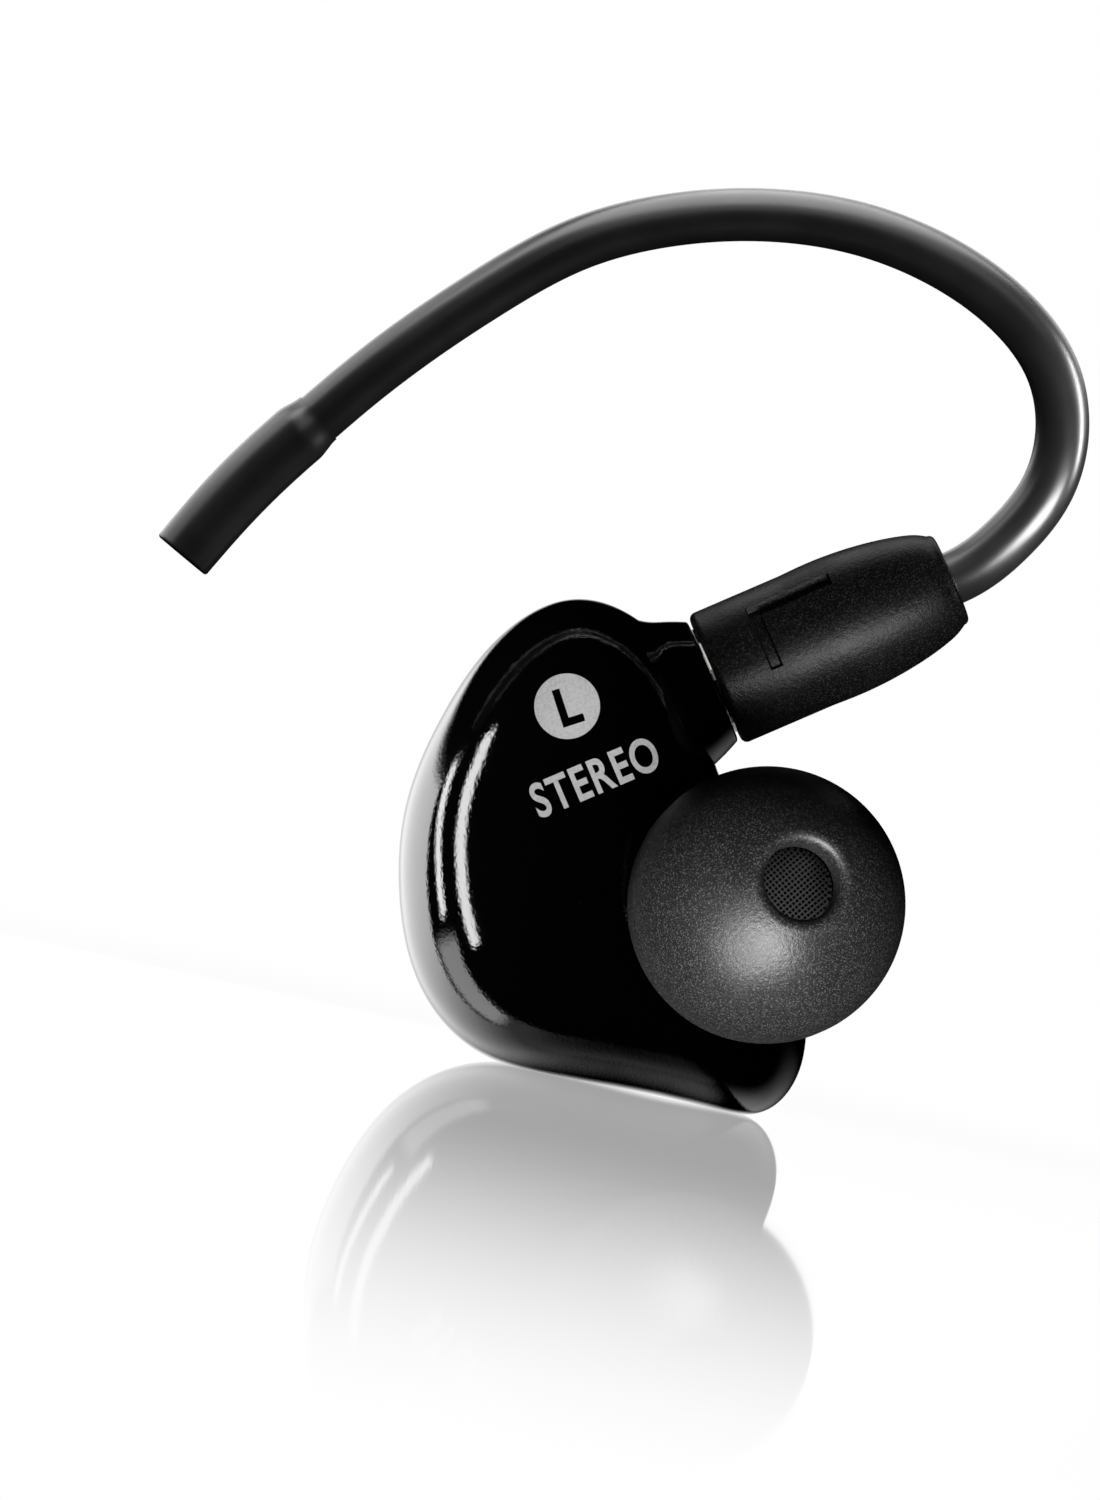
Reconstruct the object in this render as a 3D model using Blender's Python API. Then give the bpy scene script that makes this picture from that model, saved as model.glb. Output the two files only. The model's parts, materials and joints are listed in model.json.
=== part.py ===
"""A left in-ear monitor with a detachable over-ear lead end, as an assembly of separate pieces.

The housing is two glossy half shells bonded at a seam, with a moving-coil driver inside, a slanted
nozzle that carries a silicone ear tip, and a round boss that holds a coaxial snap socket. The plug in
that socket turns and pulls off. It carries a soft overmould and a formed tubular ear hook that ends in
a thicker outlet sleeve.

Frame: +Z is up as the monitor is worn, +X points to the front of the wearer's face and -Y points into
the ear. The origin is the middle of the housing's flat outer face. Sizes below are in millimetres.
"""

import math

import bmesh
import bpy
import numpy as np
from mathutils import Matrix, Vector

MM = 0.001
WELD = 1e-7

# Facets round a full turn
VISIBLE_FACETS = 32
INNER_FACETS = 20
PIN_FACETS = 12
HOOK_FACETS = 12
WIRE_FACETS = 6

# Clearances
FIT = 0.10
SEAM_GAP = 0.10
SEAT_GAP = 0.05

# ---------------------------------------------------------------- housing
HOUSING_OUTER_DEPTH = 4.5
HOUSING_INNER_DEPTH = 7.0
HOUSING_WALL = 1.1
HOUSING_MIDDLE = (0.2, -0.6)
# Outline seen from the ear, as (x, z), anticlockwise from the crown
HOUSING_OUTLINE = [
    (-1.1, 11.95), (-4.2, 10.55), (-7.15, 6.7), (-8.85, 2.6), (-9.15, -1.9), (-8.15, -5.95),
    (-5.65, -8.75), (-2.0, -9.95), (2.0, -10.65), (5.0, -11.35), (7.4, -11.6), (9.0, -10.0),
    (9.45, -7.3), (9.0, -3.4), (7.1, 0.6), (5.35, 4.1), (4.3, 7.6), (2.1, 10.7),
]
OUTLINE_STEPS = 3
# The ear side is a flattened dome: depth = (1 - s^DOME_WIDTH)^(1/DOME_DROP) at scale s of the outline
DOME_WIDTH = 2.6
DOME_DROP = 2.0
DOME_SCALES = [0.985, 0.94, 0.86, 0.75, 0.6, 0.42, 0.22]
# The outer side rolls over by this share of the outline to a flat face
FACE_ROLL = 0.34
FACE_ROLL_ANGLES = [22, 45, 67, 90]

# ---------------------------------------------------------------- lead socket and plug, on one axis
PLUG_TILT = 23.3
BOSS_FACE = (5.15, -4.5, 8.15)
# (height, radius) of the boss, which flares into the shell behind its face
BOSS_FLARE = [(-6.0, 3.8), (-2.6, 3.8), (-1.9, 3.66), (-1.3, 3.5), (-0.7, 3.27), (-0.2, 3.02), (-0.05, 2.92), (0.0, 2.78)]
SOCKET_RADIUS = 1.8
SOCKET_BORE = 1.4
SOCKET_DEPTH = 4.6
SOCKET_WELL_WALL = 0.7
COLLAR_RADIUS = 2.55
COLLAR_THICKNESS = 0.1
SOCKET_INSULATOR_LENGTH = 1.0
CONTACT_RADIUS = 0.42
CONTACT_BORE = 0.27
CONTACT_REACH = -2.6
CONTACT_TAIL = -5.4
BARREL_WALL = 0.4
BARREL_NOSE = -3.4
BARREL_TAIL = 3.2
SNAP_FROM, SNAP_TO = -2.2, -1.6
SNAP_GROOVE_DEPTH = 0.18
SNAP_RING_WALL = 0.18
SNAP_RING_OPENING = 30
PIN_RADIUS = 0.2
PIN_NOSE = -4.0
PIN_TAIL = 2.0
PLUG_INSULATOR_NOSE = -2.35
PLUG_INSULATOR_TAIL = 1.6
FERRULE_FROM, FERRULE_TO = 2.2, 6.6

# Overmould, measured along the plug's axis from its own front face
OVERMOULD_START = 0.27
OVERMOULD_RADIUS = 3.2
OVERMOULD_LENGTH = 11.58
OVERMOULD_BARREL_SOCKET = 5.0
# (distance back from the tail face, share of the full radius)
OVERMOULD_TAIL = [(4.2, 1.0), (3.3, 0.97), (1.8, 0.88), (1.0, 0.79), (0.45, 0.7), (0.12, 0.62), (0.0, 0.55)]
OVERMOULD_NOSE_ROUND = 0.3
# Sunk L for the left side: its corner, arms, stroke and depth, in (along, across) of the plug
MARK_CORNER = (2.55, 2.2)
MARK_LONG_ARM = 3.9
MARK_SHORT_ARM = 2.8
MARK_STROKE = 0.5
MARK_DEPTH = 0.28

# ---------------------------------------------------------------- ear hook
HOOK_RADIUS_AT_PLUG = 1.22
HOOK_RADIUS_AT_SLEEVE = 1.15
HOOK_WALL = 0.32
HOOK_STEPS = 3
# Heights up the plug's axis: inside the overmould's tail, and just past its tail face
HOOK_START = OVERMOULD_START + OVERMOULD_LENGTH - 2.25
HOOK_LEAVES = OVERMOULD_START + OVERMOULD_LENGTH + 0.55
# The overmould's length at which the route's points stand as written; a longer one carries them with it
ROUTE_AT_LENGTH = 11.58
# The hook's line after it leaves the plug: up, over the ear and down behind it
HOOK_ROUTE = [
    (18.75, -4.5, 14.75), (20.4, -4.5, 16.9), (21.1, -4.6, 19.7), (20.6, -4.8, 22.4), (18.65, -5.1, 25.05),
    (15.8, -5.5, 27.1), (12.0, -5.9, 28.65), (7.6, -6.3, 29.3), (3.2, -6.7, 29.05), (-1.0, -7.0, 27.95),
    (-4.9, -7.2, 25.85), (-8.7, -7.35, 23.3),
]
CORE_RADIUS = 0.6
CORE_START = 4.6
# Outlet sleeve, straight, over the hook's far end: heights are measured back from its mouth
SLEEVE_MOUTH = (-18.95, -7.35, 13.8)
SLEEVE_SLOPE = 225.2
SLEEVE_LENGTH = 8.8
SLEEVE_RADIUS_AT_SHOULDER = 1.52
SLEEVE_RADIUS_AT_MOUTH = 1.42
SLEEVE_EDGE = 0.15
OUTLET_RADIUS = 0.72
OUTLET_LENGTH = 1.5

# ---------------------------------------------------------------- nozzle and ear tip, on one axis
NOZZLE_ROOT = (6.29, -11.22, -2.72)
NOZZLE_LEAN = 18.7
NOZZLE_TURN = 38.7
NOZZLE_BORE = 1.95
NOZZLE_WALL = 0.4
NOZZLE_END = 8.6
NOZZLE_BARB_FROM, NOZZLE_BARB_TO = 5.9, 7.1
NOZZLE_BARB_RISE = 0.2
# (height, radius) of the flare that joins the nozzle to the shell
NOZZLE_FLARE = [(-3.2, 4.2), (-1.2, 3.9), (0.2, 3.35), (1.3, 2.75), (2.4, 2.42)]
SCREEN_SEAT_DEPTH = 0.5
SCREEN_SEAT_STEP = 0.2
SCREEN_THICKNESS = 0.15
DAMPER_FROM, DAMPER_TO = 4.6, 6.4
TIP_FRONT = 10.2
TIP_RADIUS = 6.15
TIP_WIDEST = 4.2
TIP_SKIRT_EDGE = 2.2
TIP_SKIRT_WALL = 0.55
TIP_CORE_WALL = 0.6
TIP_CORE_BACK = 3.4
TIP_BORE = 1.85
TIP_LIP = 2.3
TIP_LIP_DEPTH = 1.3

# ---------------------------------------------------------------- driver, heights from the yoke's back
DRIVER_MIDDLE = (0.3, -4.6, -2.0)
DRIVER_RADIUS = 4.6
FRAME_WALL = 0.4
FRAME_FROM, FRAME_TO = 1.2, 3.6
YOKE_RADIUS = 3.3
YOKE_WALL = 0.45
YOKE_HEIGHT = 2.9
MAGNET_RADIUS = 2.0
MAGNET_HEIGHT = 1.35
POLE_RADIUS = 2.12
POLE_HEIGHT = 0.6
COIL_RADIUS = 2.35
COIL_WALL = 0.22
COIL_FROM, COIL_TO = 1.5, 2.95
DOME_RADIUS = 2.7
DOME_RISE = 0.3
DOME_THICKNESS = 0.1
SURROUND_INNER = 2.85
SURROUND_RISE = 0.22
COVER_THICKNESS = 0.25
COVER_HOLE_RADIUS = 0.55
COVER_HOLE_CIRCLE = 2.3
COVER_HOLES = 6
GASKET_THICKNESS = 0.3
GASKET_WIDTH = 0.65
FELT_THICKNESS = 0.25
RIB_WALL = 0.8
BOARD_SIZE = (3.4, 2.2, 0.3)
WIRE_RADIUS = 0.15
WIRE_SPREAD = 0.9


def material(name, colour, roughness, metallic=0.0):
    """A plain Principled material."""
    made = bpy.data.materials.new(name)
    made.use_nodes = True
    shader = made.node_tree.nodes["Principled BSDF"]
    shader.inputs["Base Color"].default_value = (*colour, 1.0)
    shader.inputs["Roughness"].default_value = roughness
    shader.inputs["Metallic"].default_value = metallic
    return made


def frame_at(name, origin, direction):
    """An empty at origin (mm) whose local Z runs along direction and whose local Y leans to world -Y or up."""
    z = Vector(direction).normalized()
    x = Vector((0, 1, 0)).cross(z)
    if x.length < WELD:
        x = Vector((1, 0, 0))
    x.normalize()
    turn = Matrix((x, z.cross(x), z)).transposed().to_4x4()
    empty = bpy.data.objects.new(name, None)
    empty.matrix_world = Matrix.Translation(Vector(origin) * MM) @ turn
    bpy.context.scene.collection.objects.link(empty)
    return empty


def solid(name, bm, finish=None, parent=None):
    """Links a closed bmesh as one object, with outward normals; without a finish it is a hidden cutter."""
    bmesh.ops.remove_doubles(bm, verts=bm.verts, dist=WELD)
    bmesh.ops.recalc_face_normals(bm, faces=bm.faces)
    mesh = bpy.data.meshes.new(name)
    bm.to_mesh(mesh)
    bm.free()
    made = bpy.data.objects.new(name, mesh)
    bpy.context.scene.collection.objects.link(made)
    made.parent = parent
    if finish is None:
        made.hide_render = True
        made.display_type = "WIRE"
        return made
    mesh.materials.append(finish)
    mesh.shade_smooth()
    mesh.set_sharp_from_angle(angle=math.radians(35))
    return made


def combine(target, other, operation):
    """Adds a live Boolean to target."""
    modifier = target.modifiers.new(f"{operation.lower()}_{other.name}", "BOOLEAN")
    modifier.object = other
    modifier.operation = operation
    modifier.solver = "MANIFOLD"


def lathe(name, profile, finish=None, parent=None, facets=INNER_FACETS):
    """Turns a closed (radius, height) profile in mm about the parent's Z."""
    bm = bmesh.new()
    verts = [bm.verts.new((r * MM, 0, h * MM)) for r, h in profile]
    edges = []
    for a, b in zip(verts, verts[1:] + verts[:1]):
        if a.co.x > WELD or b.co.x > WELD:
            edges.append(bm.edges.new((a, b)))
    bmesh.ops.spin(
        bm, geom=verts + edges, cent=(0, 0, 0), axis=(0, 0, 1), angle=math.tau, steps=facets, use_merge=True
    )
    return solid(name, bm, finish, parent)


def ring(inner, outer, low, high):
    """Profile of a plain ring; inner 0 makes a disc."""
    return [(inner, low), (outer, low), (outer, high), (inner, high)]


def curve_points(points, steps, closed=False):
    """Points read from a Catmull-Rom curve through the given ones."""
    known = np.array(points, float)
    if closed:
        padded = np.vstack([known[-1:], known, known[:2]])
    else:
        first = 2 * known[0] - known[1]
        last = 2 * known[-1] - known[-2]
        padded = np.vstack([first, known, last])
    found = []
    for a, b, c, d in zip(padded, padded[1:], padded[2:], padded[3:]):
        for t in np.arange(steps) / steps:
            found.append(
                0.5 * (2 * b + (c - a) * t + (2 * a - 5 * b + 4 * c - d) * t**2 + (3 * b - a - 3 * c + d) * t**3)
            )
    if not closed:
        found.append(known[-1])
    return np.array(found)


def rings_along(route, radii, facets):
    """Rings of points square to a route in mm, carried along it without twist."""
    steps = np.gradient(route, axis=0)
    along = steps / np.linalg.norm(steps, axis=1)[:, None]
    side = Vector((0, 1, 0))
    turns = np.arange(facets) * math.tau / facets
    rings = []
    for centre, direction, radius in zip(route, along, radii):
        ahead = Vector(direction)
        side = (side - ahead * side.dot(ahead)).normalized()
        other = ahead.cross(side)
        reach = float(radius)
        rings.append([Vector(centre) + reach * (math.cos(a) * side + math.sin(a) * other) for a in turns])
    return rings


def skin(bm, rings, wrap=False):
    """Faces between successive rings of points in mm; returns the rings' vertices."""
    loops = [[bm.verts.new(p * MM) for p in points] for points in rings]
    pairs = list(zip(loops, loops[1:]))
    if wrap:
        pairs.append((loops[-1], loops[0]))
    for a, b in pairs:
        for i in range(len(a)):
            j = (i + 1) % len(a)
            bm.faces.new((a[i], a[j], b[j], b[i]))
    return loops


def tube(name, route, outer, inner, finish, facets):
    """A tube along a route in mm with a radius at each point; inner None makes a solid rod."""
    bm = bmesh.new()
    rings = rings_along(route, outer, facets)
    if inner is None:
        loops = skin(bm, rings)
        bm.faces.new(loops[0][::-1])
        bm.faces.new(loops[-1])
    else:
        skin(bm, rings + rings_along(route, inner, facets)[::-1], wrap=True)
    return solid(name, bm, finish)


def outline(inset=0.0):
    """The housing's closed outline as (x, z) in mm, moved inwards by inset along its normals."""
    points = curve_points(HOUSING_OUTLINE, OUTLINE_STEPS, closed=True)
    along = np.roll(points, -1, axis=0) - np.roll(points, 1, axis=0)
    along /= np.linalg.norm(along, axis=1)[:, None]
    inwards = np.stack([-along[:, 1], along[:, 0]], axis=1)
    return points + inset * inwards


def pebble(name, inset, finish=None):
    """The housing's closed outer form, or its hollow when inset by the wall."""
    edge = outline(inset)
    middle = np.array(HOUSING_MIDDLE)
    seam = -HOUSING_OUTER_DEPTH
    inner_depth = HOUSING_INNER_DEPTH - inset
    outer_depth = HOUSING_OUTER_DEPTH - inset
    levels = []
    for angle in reversed(FACE_ROLL_ANGLES):
        a = math.radians(angle)
        levels.append((1 - FACE_ROLL * (1 - math.cos(a)), seam + outer_depth * math.sin(a)))
    levels.append((1.0, seam))
    for s in DOME_SCALES:
        levels.append((s, seam - inner_depth * (1 - s**DOME_WIDTH) ** (1 / DOME_DROP)))
    bm = bmesh.new()
    rings = []
    for s, y in levels:
        rings.append([Vector((x, y, z)) for x, z in middle + s * (edge - middle)])
    loops = skin(bm, rings)
    bm.faces.new(loops[0])
    crown = bm.verts.new(Vector((middle[0], seam - inner_depth, middle[1])) * MM)
    last = loops[-1]
    for a, b in zip(last, last[1:] + last[:1]):
        bm.faces.new((a, b, crown))
    return solid(name, bm, finish)


def block(name, low, high, finish=None, parent=None):
    """A box between two corners in mm, in the parent's frame."""
    bm = bmesh.new()
    bmesh.ops.create_cube(bm, size=1.0)
    size = Vector(high) - Vector(low)
    middle = (Vector(high) + Vector(low)) / 2
    bmesh.ops.transform(bm, matrix=Matrix.Translation(middle * MM) @ Matrix.Diagonal((*(size * MM), 1)), verts=bm.verts)
    return solid(name, bm, finish, parent)


def housing(finish, plug_axis, nozzle_axis, driver_axis):
    """Both half shells: the pebble with its boss and nozzle, hollowed and parted at the seam."""
    boss = lathe(
        "boss_form",
        [(0, BOSS_FLARE[0][0])] + [(r, h) for h, r in BOSS_FLARE] + [(0, 0)],
        parent=plug_axis,
        facets=VISIBLE_FACETS,
    )
    socket_bore = lathe(
        "socket_bore", ring(0, SOCKET_RADIUS + FIT, -SOCKET_DEPTH - 1.5, 1), parent=plug_axis, facets=VISIBLE_FACETS
    )
    hollow = pebble("hollow", HOUSING_WALL)
    well_radius = SOCKET_RADIUS + FIT + SOCKET_WELL_WALL
    well = lathe("socket_well_form", ring(0, well_radius, -SOCKET_DEPTH + 0.3, 1), parent=plug_axis, facets=VISIBLE_FACETS)
    combine(hollow, well, "DIFFERENCE")
    rib_from = FRAME_TO + SEAT_GAP + COVER_THICKNESS + GASKET_THICKNESS + 2 * SEAT_GAP
    rib_inner = DRIVER_RADIUS - RIB_WALL
    rib = lathe(
        "driver_rib_form", ring(rib_inner, DRIVER_RADIUS, rib_from, HOUSING_INNER_DEPTH), parent=driver_axis
    )
    combine(hollow, rib, "DIFFERENCE")

    neck = NOZZLE_BORE + NOZZLE_WALL
    barb = neck + NOZZLE_BARB_RISE
    stem_profile = [(0, NOZZLE_FLARE[0][0])]
    stem_profile += [(r, h) for h, r in NOZZLE_FLARE]
    stem_profile += [
        (neck, NOZZLE_FLARE[-1][0] + 0.4), (neck, NOZZLE_BARB_FROM), (barb, NOZZLE_BARB_FROM + 0.25),
        (neck, NOZZLE_BARB_TO), (neck, NOZZLE_END), (0, NOZZLE_END),
    ]
    stem = lathe("nozzle_form", stem_profile, parent=nozzle_axis, facets=VISIBLE_FACETS)
    bore_top = NOZZLE_END + 1
    seat = NOZZLE_END - SCREEN_SEAT_DEPTH
    seat_radius = NOZZLE_BORE + SCREEN_SEAT_STEP
    bore = lathe(
        "nozzle_bore",
        [(0, -2.3), (NOZZLE_BORE, -2.3), (NOZZLE_BORE, seat), (seat_radius, seat), (seat_radius, bore_top), (0, bore_top)],
        parent=nozzle_axis,
    )

    half = 40
    seam = -HOUSING_OUTER_DEPTH
    beyond = block("beyond_seam", (-half, seam - SEAM_GAP / 2, -half), (half, half, half))
    before = block("before_seam", (-half, -half, -half), (half, seam + SEAM_GAP / 2, half))
    for name, other_side in (("inner_shell", beyond), ("outer_shell", before)):
        shell = pebble(name, 0.0, finish)
        combine(shell, boss, "UNION")
        if name == "inner_shell":
            combine(shell, stem, "UNION")
        combine(shell, hollow, "DIFFERENCE")
        combine(shell, socket_bore, "DIFFERENCE")
        if name == "inner_shell":
            combine(shell, bore, "DIFFERENCE")
        combine(shell, other_side, "DIFFERENCE")


def socket(barrel_metal, contact_metal, insulator, plug_axis):
    """The socket in the boss: barrel with its collar, insulator and centre contact."""
    back = -SOCKET_DEPTH
    collar_low = SEAT_GAP
    collar_high = SEAT_GAP + COLLAR_THICKNESS
    lathe(
        "socket_barrel",
        [
            (SOCKET_BORE, back), (SOCKET_RADIUS, back), (SOCKET_RADIUS, collar_low), (COLLAR_RADIUS, collar_low),
            (COLLAR_RADIUS, collar_high), (SOCKET_BORE, collar_high),
        ],
        barrel_metal,
        plug_axis,
        VISIBLE_FACETS,
    )
    lathe(
        "socket_insulator",
        ring(CONTACT_RADIUS + SEAT_GAP, SOCKET_BORE - SEAT_GAP, back, back + SOCKET_INSULATOR_LENGTH),
        insulator,
        plug_axis,
    )
    pocket = PIN_NOSE - 0.3
    lathe(
        "socket_contact",
        [
            (0, CONTACT_TAIL), (CONTACT_RADIUS, CONTACT_TAIL), (CONTACT_RADIUS, CONTACT_REACH),
            (CONTACT_BORE, CONTACT_REACH), (CONTACT_BORE, pocket), (0, pocket),
        ],
        contact_metal,
        plug_axis,
        PIN_FACETS,
    )


def snap_ring(metal, plug_axis):
    """The open spring ring that holds the plug in the socket."""
    groove = SOCKET_BORE - FIT - SNAP_GROOVE_DEPTH
    inner = groove + SEAT_GAP / 2
    made = lathe(
        "snap_ring",
        ring(inner, inner + SNAP_RING_WALL, SNAP_FROM + SEAT_GAP, SNAP_TO - SEAT_GAP),
        metal,
        plug_axis,
        VISIBLE_FACETS,
    )
    reach = 2 * SOCKET_RADIUS
    spread = reach * math.tan(math.radians(SNAP_RING_OPENING / 2))
    bm = bmesh.new()
    low = [bm.verts.new(Vector(p) * MM) for p in ((0, 0, -5), (-spread, reach, -5), (spread, reach, -5))]
    wedge = bm.faces.new(low)
    raised = bmesh.ops.extrude_face_region(bm, geom=[wedge])["geom"]
    tops = [v for v in raised if isinstance(v, bmesh.types.BMVert)]
    bmesh.ops.translate(bm, vec=Vector((0, 0, 8)) * MM, verts=tops)
    combine(made, solid("snap_ring_opening", bm, parent=plug_axis), "DIFFERENCE")


def plug(barrel_metal, pin_metal, insulator, soft, plug_axis):
    """The plug: barrel with its groove, insulator, pin, crimp ferrule and the soft overmould."""
    outer = SOCKET_BORE - FIT
    inner = outer - BARREL_WALL
    groove = outer - SNAP_GROOVE_DEPTH
    lathe(
        "plug_barrel",
        [
            (inner, BARREL_NOSE), (outer, BARREL_NOSE), (outer, SNAP_FROM), (groove, SNAP_FROM), (groove, SNAP_TO),
            (outer, SNAP_TO), (outer, BARREL_TAIL), (inner, BARREL_TAIL),
        ],
        barrel_metal,
        plug_axis,
        VISIBLE_FACETS,
    )
    lathe(
        "plug_insulator",
        ring(PIN_RADIUS + SEAT_GAP, inner - SEAT_GAP, PLUG_INSULATOR_NOSE, PLUG_INSULATOR_TAIL),
        insulator,
        plug_axis,
    )
    lathe("plug_pin", ring(0, PIN_RADIUS, PIN_NOSE, PIN_TAIL), pin_metal, plug_axis, PIN_FACETS)
    lathe(
        "crimp_ferrule", ring(CORE_RADIUS + SEAT_GAP, inner - SEAT_GAP, FERRULE_FROM, FERRULE_TO), barrel_metal, plug_axis
    )
    overmould(soft, plug_axis)


def overmould(soft, plug_axis):
    """The soft grip over the plug, with a rounded tail and the sunk left-side mark."""
    start = OVERMOULD_START
    tail = start + OVERMOULD_LENGTH
    barrel_bore = SOCKET_BORE - FIT + FIT
    hook_bore = HOOK_RADIUS_AT_PLUG + FIT
    step = start + OVERMOULD_BARREL_SOCKET
    profile = [(barrel_bore, start), (OVERMOULD_RADIUS - OVERMOULD_NOSE_ROUND, start)]
    profile.append((OVERMOULD_RADIUS - 0.3 * OVERMOULD_NOSE_ROUND, start + 0.3 * OVERMOULD_NOSE_ROUND))
    profile.append((OVERMOULD_RADIUS, start + OVERMOULD_NOSE_ROUND))
    profile += [(OVERMOULD_RADIUS * share, tail - back) for back, share in OVERMOULD_TAIL]
    profile += [(hook_bore, tail), (hook_bore, step), (barrel_bore, step)]
    made = lathe("plug_overmould", profile, soft, plug_axis, VISIBLE_FACETS)

    floor = lathe("mark_floor", ring(0, OVERMOULD_RADIUS - MARK_DEPTH, start - 1, tail + 1), parent=plug_axis, facets=VISIBLE_FACETS)
    along, across = MARK_CORNER
    along += start
    half = MARK_STROKE / 2
    deep = 2 * OVERMOULD_RADIUS
    # Local X of the plug's frame points across and down, and local -Y towards the ear
    long_arm = block(
        "mark_long_arm", (-across - half, -deep, along - half), (-across + half, 0, along + MARK_LONG_ARM), parent=plug_axis
    )
    short_arm = block(
        "mark_short_arm", (-across - half, -deep, along - half), (-across + MARK_SHORT_ARM, 0, along + half), parent=plug_axis
    )
    for arm in (long_arm, short_arm):
        combine(arm, floor, "DIFFERENCE")
        combine(made, arm, "DIFFERENCE")


def axis_points(axis, heights):
    """Points at heights in mm along an axis empty, as tuples in mm."""
    return [tuple(axis.matrix_world @ Vector((0, 0, h * MM)) / MM) for h in heights]


def ear_hook(tube_finish, sleeve_finish, core_finish, plug_axis, sleeve_axis, route_shift):
    """The formed hook tube, the lead's core inside it, and the outlet sleeve on its far end."""
    route = [tuple(np.array(point) + route_shift) for point in HOOK_ROUTE]
    hook_end = -OUTLET_LENGTH - SEAT_GAP
    out_of_plug = axis_points(plug_axis, (HOOK_START, (HOOK_START + HOOK_LEAVES) / 2, HOOK_LEAVES))
    into_sleeve = axis_points(sleeve_axis, (-SLEEVE_LENGTH - 1.2, -SLEEVE_LENGTH, hook_end))
    hook = curve_points(out_of_plug + route + into_sleeve, HOOK_STEPS)
    radii = np.linspace(HOOK_RADIUS_AT_PLUG, HOOK_RADIUS_AT_SLEEVE, len(hook))
    tube("ear_hook", hook, radii, radii - HOOK_WALL, tube_finish, HOOK_FACETS)

    core = np.vstack([axis_points(plug_axis, (CORE_START, (CORE_START + HOOK_START) / 2)), hook])
    tube("lead_core", core, np.full(len(core), CORE_RADIUS), None, core_finish, 8)

    bore = HOOK_RADIUS_AT_SLEEVE + FIT
    edge = SLEEVE_EDGE
    lathe(
        "outlet_sleeve",
        [
            (bore, -SLEEVE_LENGTH), (SLEEVE_RADIUS_AT_SHOULDER - edge, -SLEEVE_LENGTH),
            (SLEEVE_RADIUS_AT_SHOULDER, -SLEEVE_LENGTH + edge), (SLEEVE_RADIUS_AT_MOUTH, -edge),
            (SLEEVE_RADIUS_AT_MOUTH - edge, 0), (OUTLET_RADIUS, 0), (OUTLET_RADIUS, -OUTLET_LENGTH), (bore, -OUTLET_LENGTH),
        ],
        sleeve_finish,
        sleeve_axis,
    )


def nozzle_fittings(screen_finish, metal, foam, nozzle_axis):
    """What sits in the nozzle: damper, sound screen and its retaining ring."""
    seat = NOZZLE_END - SCREEN_SEAT_DEPTH + SEAT_GAP
    radius = NOZZLE_BORE + SCREEN_SEAT_STEP - FIT
    lathe("nozzle_screen", ring(0, radius, seat, seat + SCREEN_THICKNESS), screen_finish, nozzle_axis)
    ring_low = seat + SCREEN_THICKNESS + SEAT_GAP
    lathe("screen_retainer", ring(TIP_BORE - FIT, radius, ring_low, NOZZLE_END), metal, nozzle_axis)
    lathe("nozzle_damper", ring(0, NOZZLE_BORE - FIT, DAMPER_FROM, DAMPER_TO), foam, nozzle_axis)


def ear_tip(silicone, nozzle_axis):
    """The silicone tip: a sleeve on the nozzle, a rolled front lip and a domed skirt open behind."""
    rise = (TIP_FRONT - TIP_WIDEST) / math.sqrt(1 - (TIP_LIP / TIP_RADIUS) ** 2)
    lip_angle = math.acos(TIP_LIP / TIP_RADIUS)
    angles = np.linspace(lip_angle, 0, 8)
    dome = [(TIP_RADIUS * math.cos(a), TIP_WIDEST + rise * math.sin(a)) for a in angles]
    edge = [(TIP_RADIUS - 0.08, TIP_SKIRT_EDGE + 0.9), (TIP_RADIUS - 0.25, TIP_SKIRT_EDGE)]
    inner_radius = TIP_RADIUS - TIP_SKIRT_WALL
    inner_edge = [(inner_radius - 0.2, TIP_SKIRT_EDGE), (inner_radius, TIP_WIDEST)]
    core_outer = NOZZLE_BORE + NOZZLE_WALL + NOZZLE_BARB_RISE + FIT + TIP_CORE_WALL
    inner_rise = rise - TIP_SKIRT_WALL - 0.25
    root_angle = math.acos((core_outer + 0.35) / inner_radius)
    hollow = [
        (inner_radius * math.cos(a), TIP_WIDEST + inner_rise * math.sin(a)) for a in np.linspace(0, root_angle, 6)[1:]
    ]
    core_inner = core_outer - TIP_CORE_WALL
    lip_back = TIP_FRONT - TIP_LIP_DEPTH
    core = [
        (core_outer, hollow[-1][1] - 0.4), (core_outer, TIP_CORE_BACK), (core_inner, TIP_CORE_BACK),
        (core_inner, lip_back), (TIP_BORE, lip_back), (TIP_BORE, TIP_FRONT - 0.25), (TIP_BORE + 0.2, TIP_FRONT),
    ]
    lathe("ear_tip", dome + edge + inner_edge + hollow + core, silicone, nozzle_axis, VISIBLE_FACETS)


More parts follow.
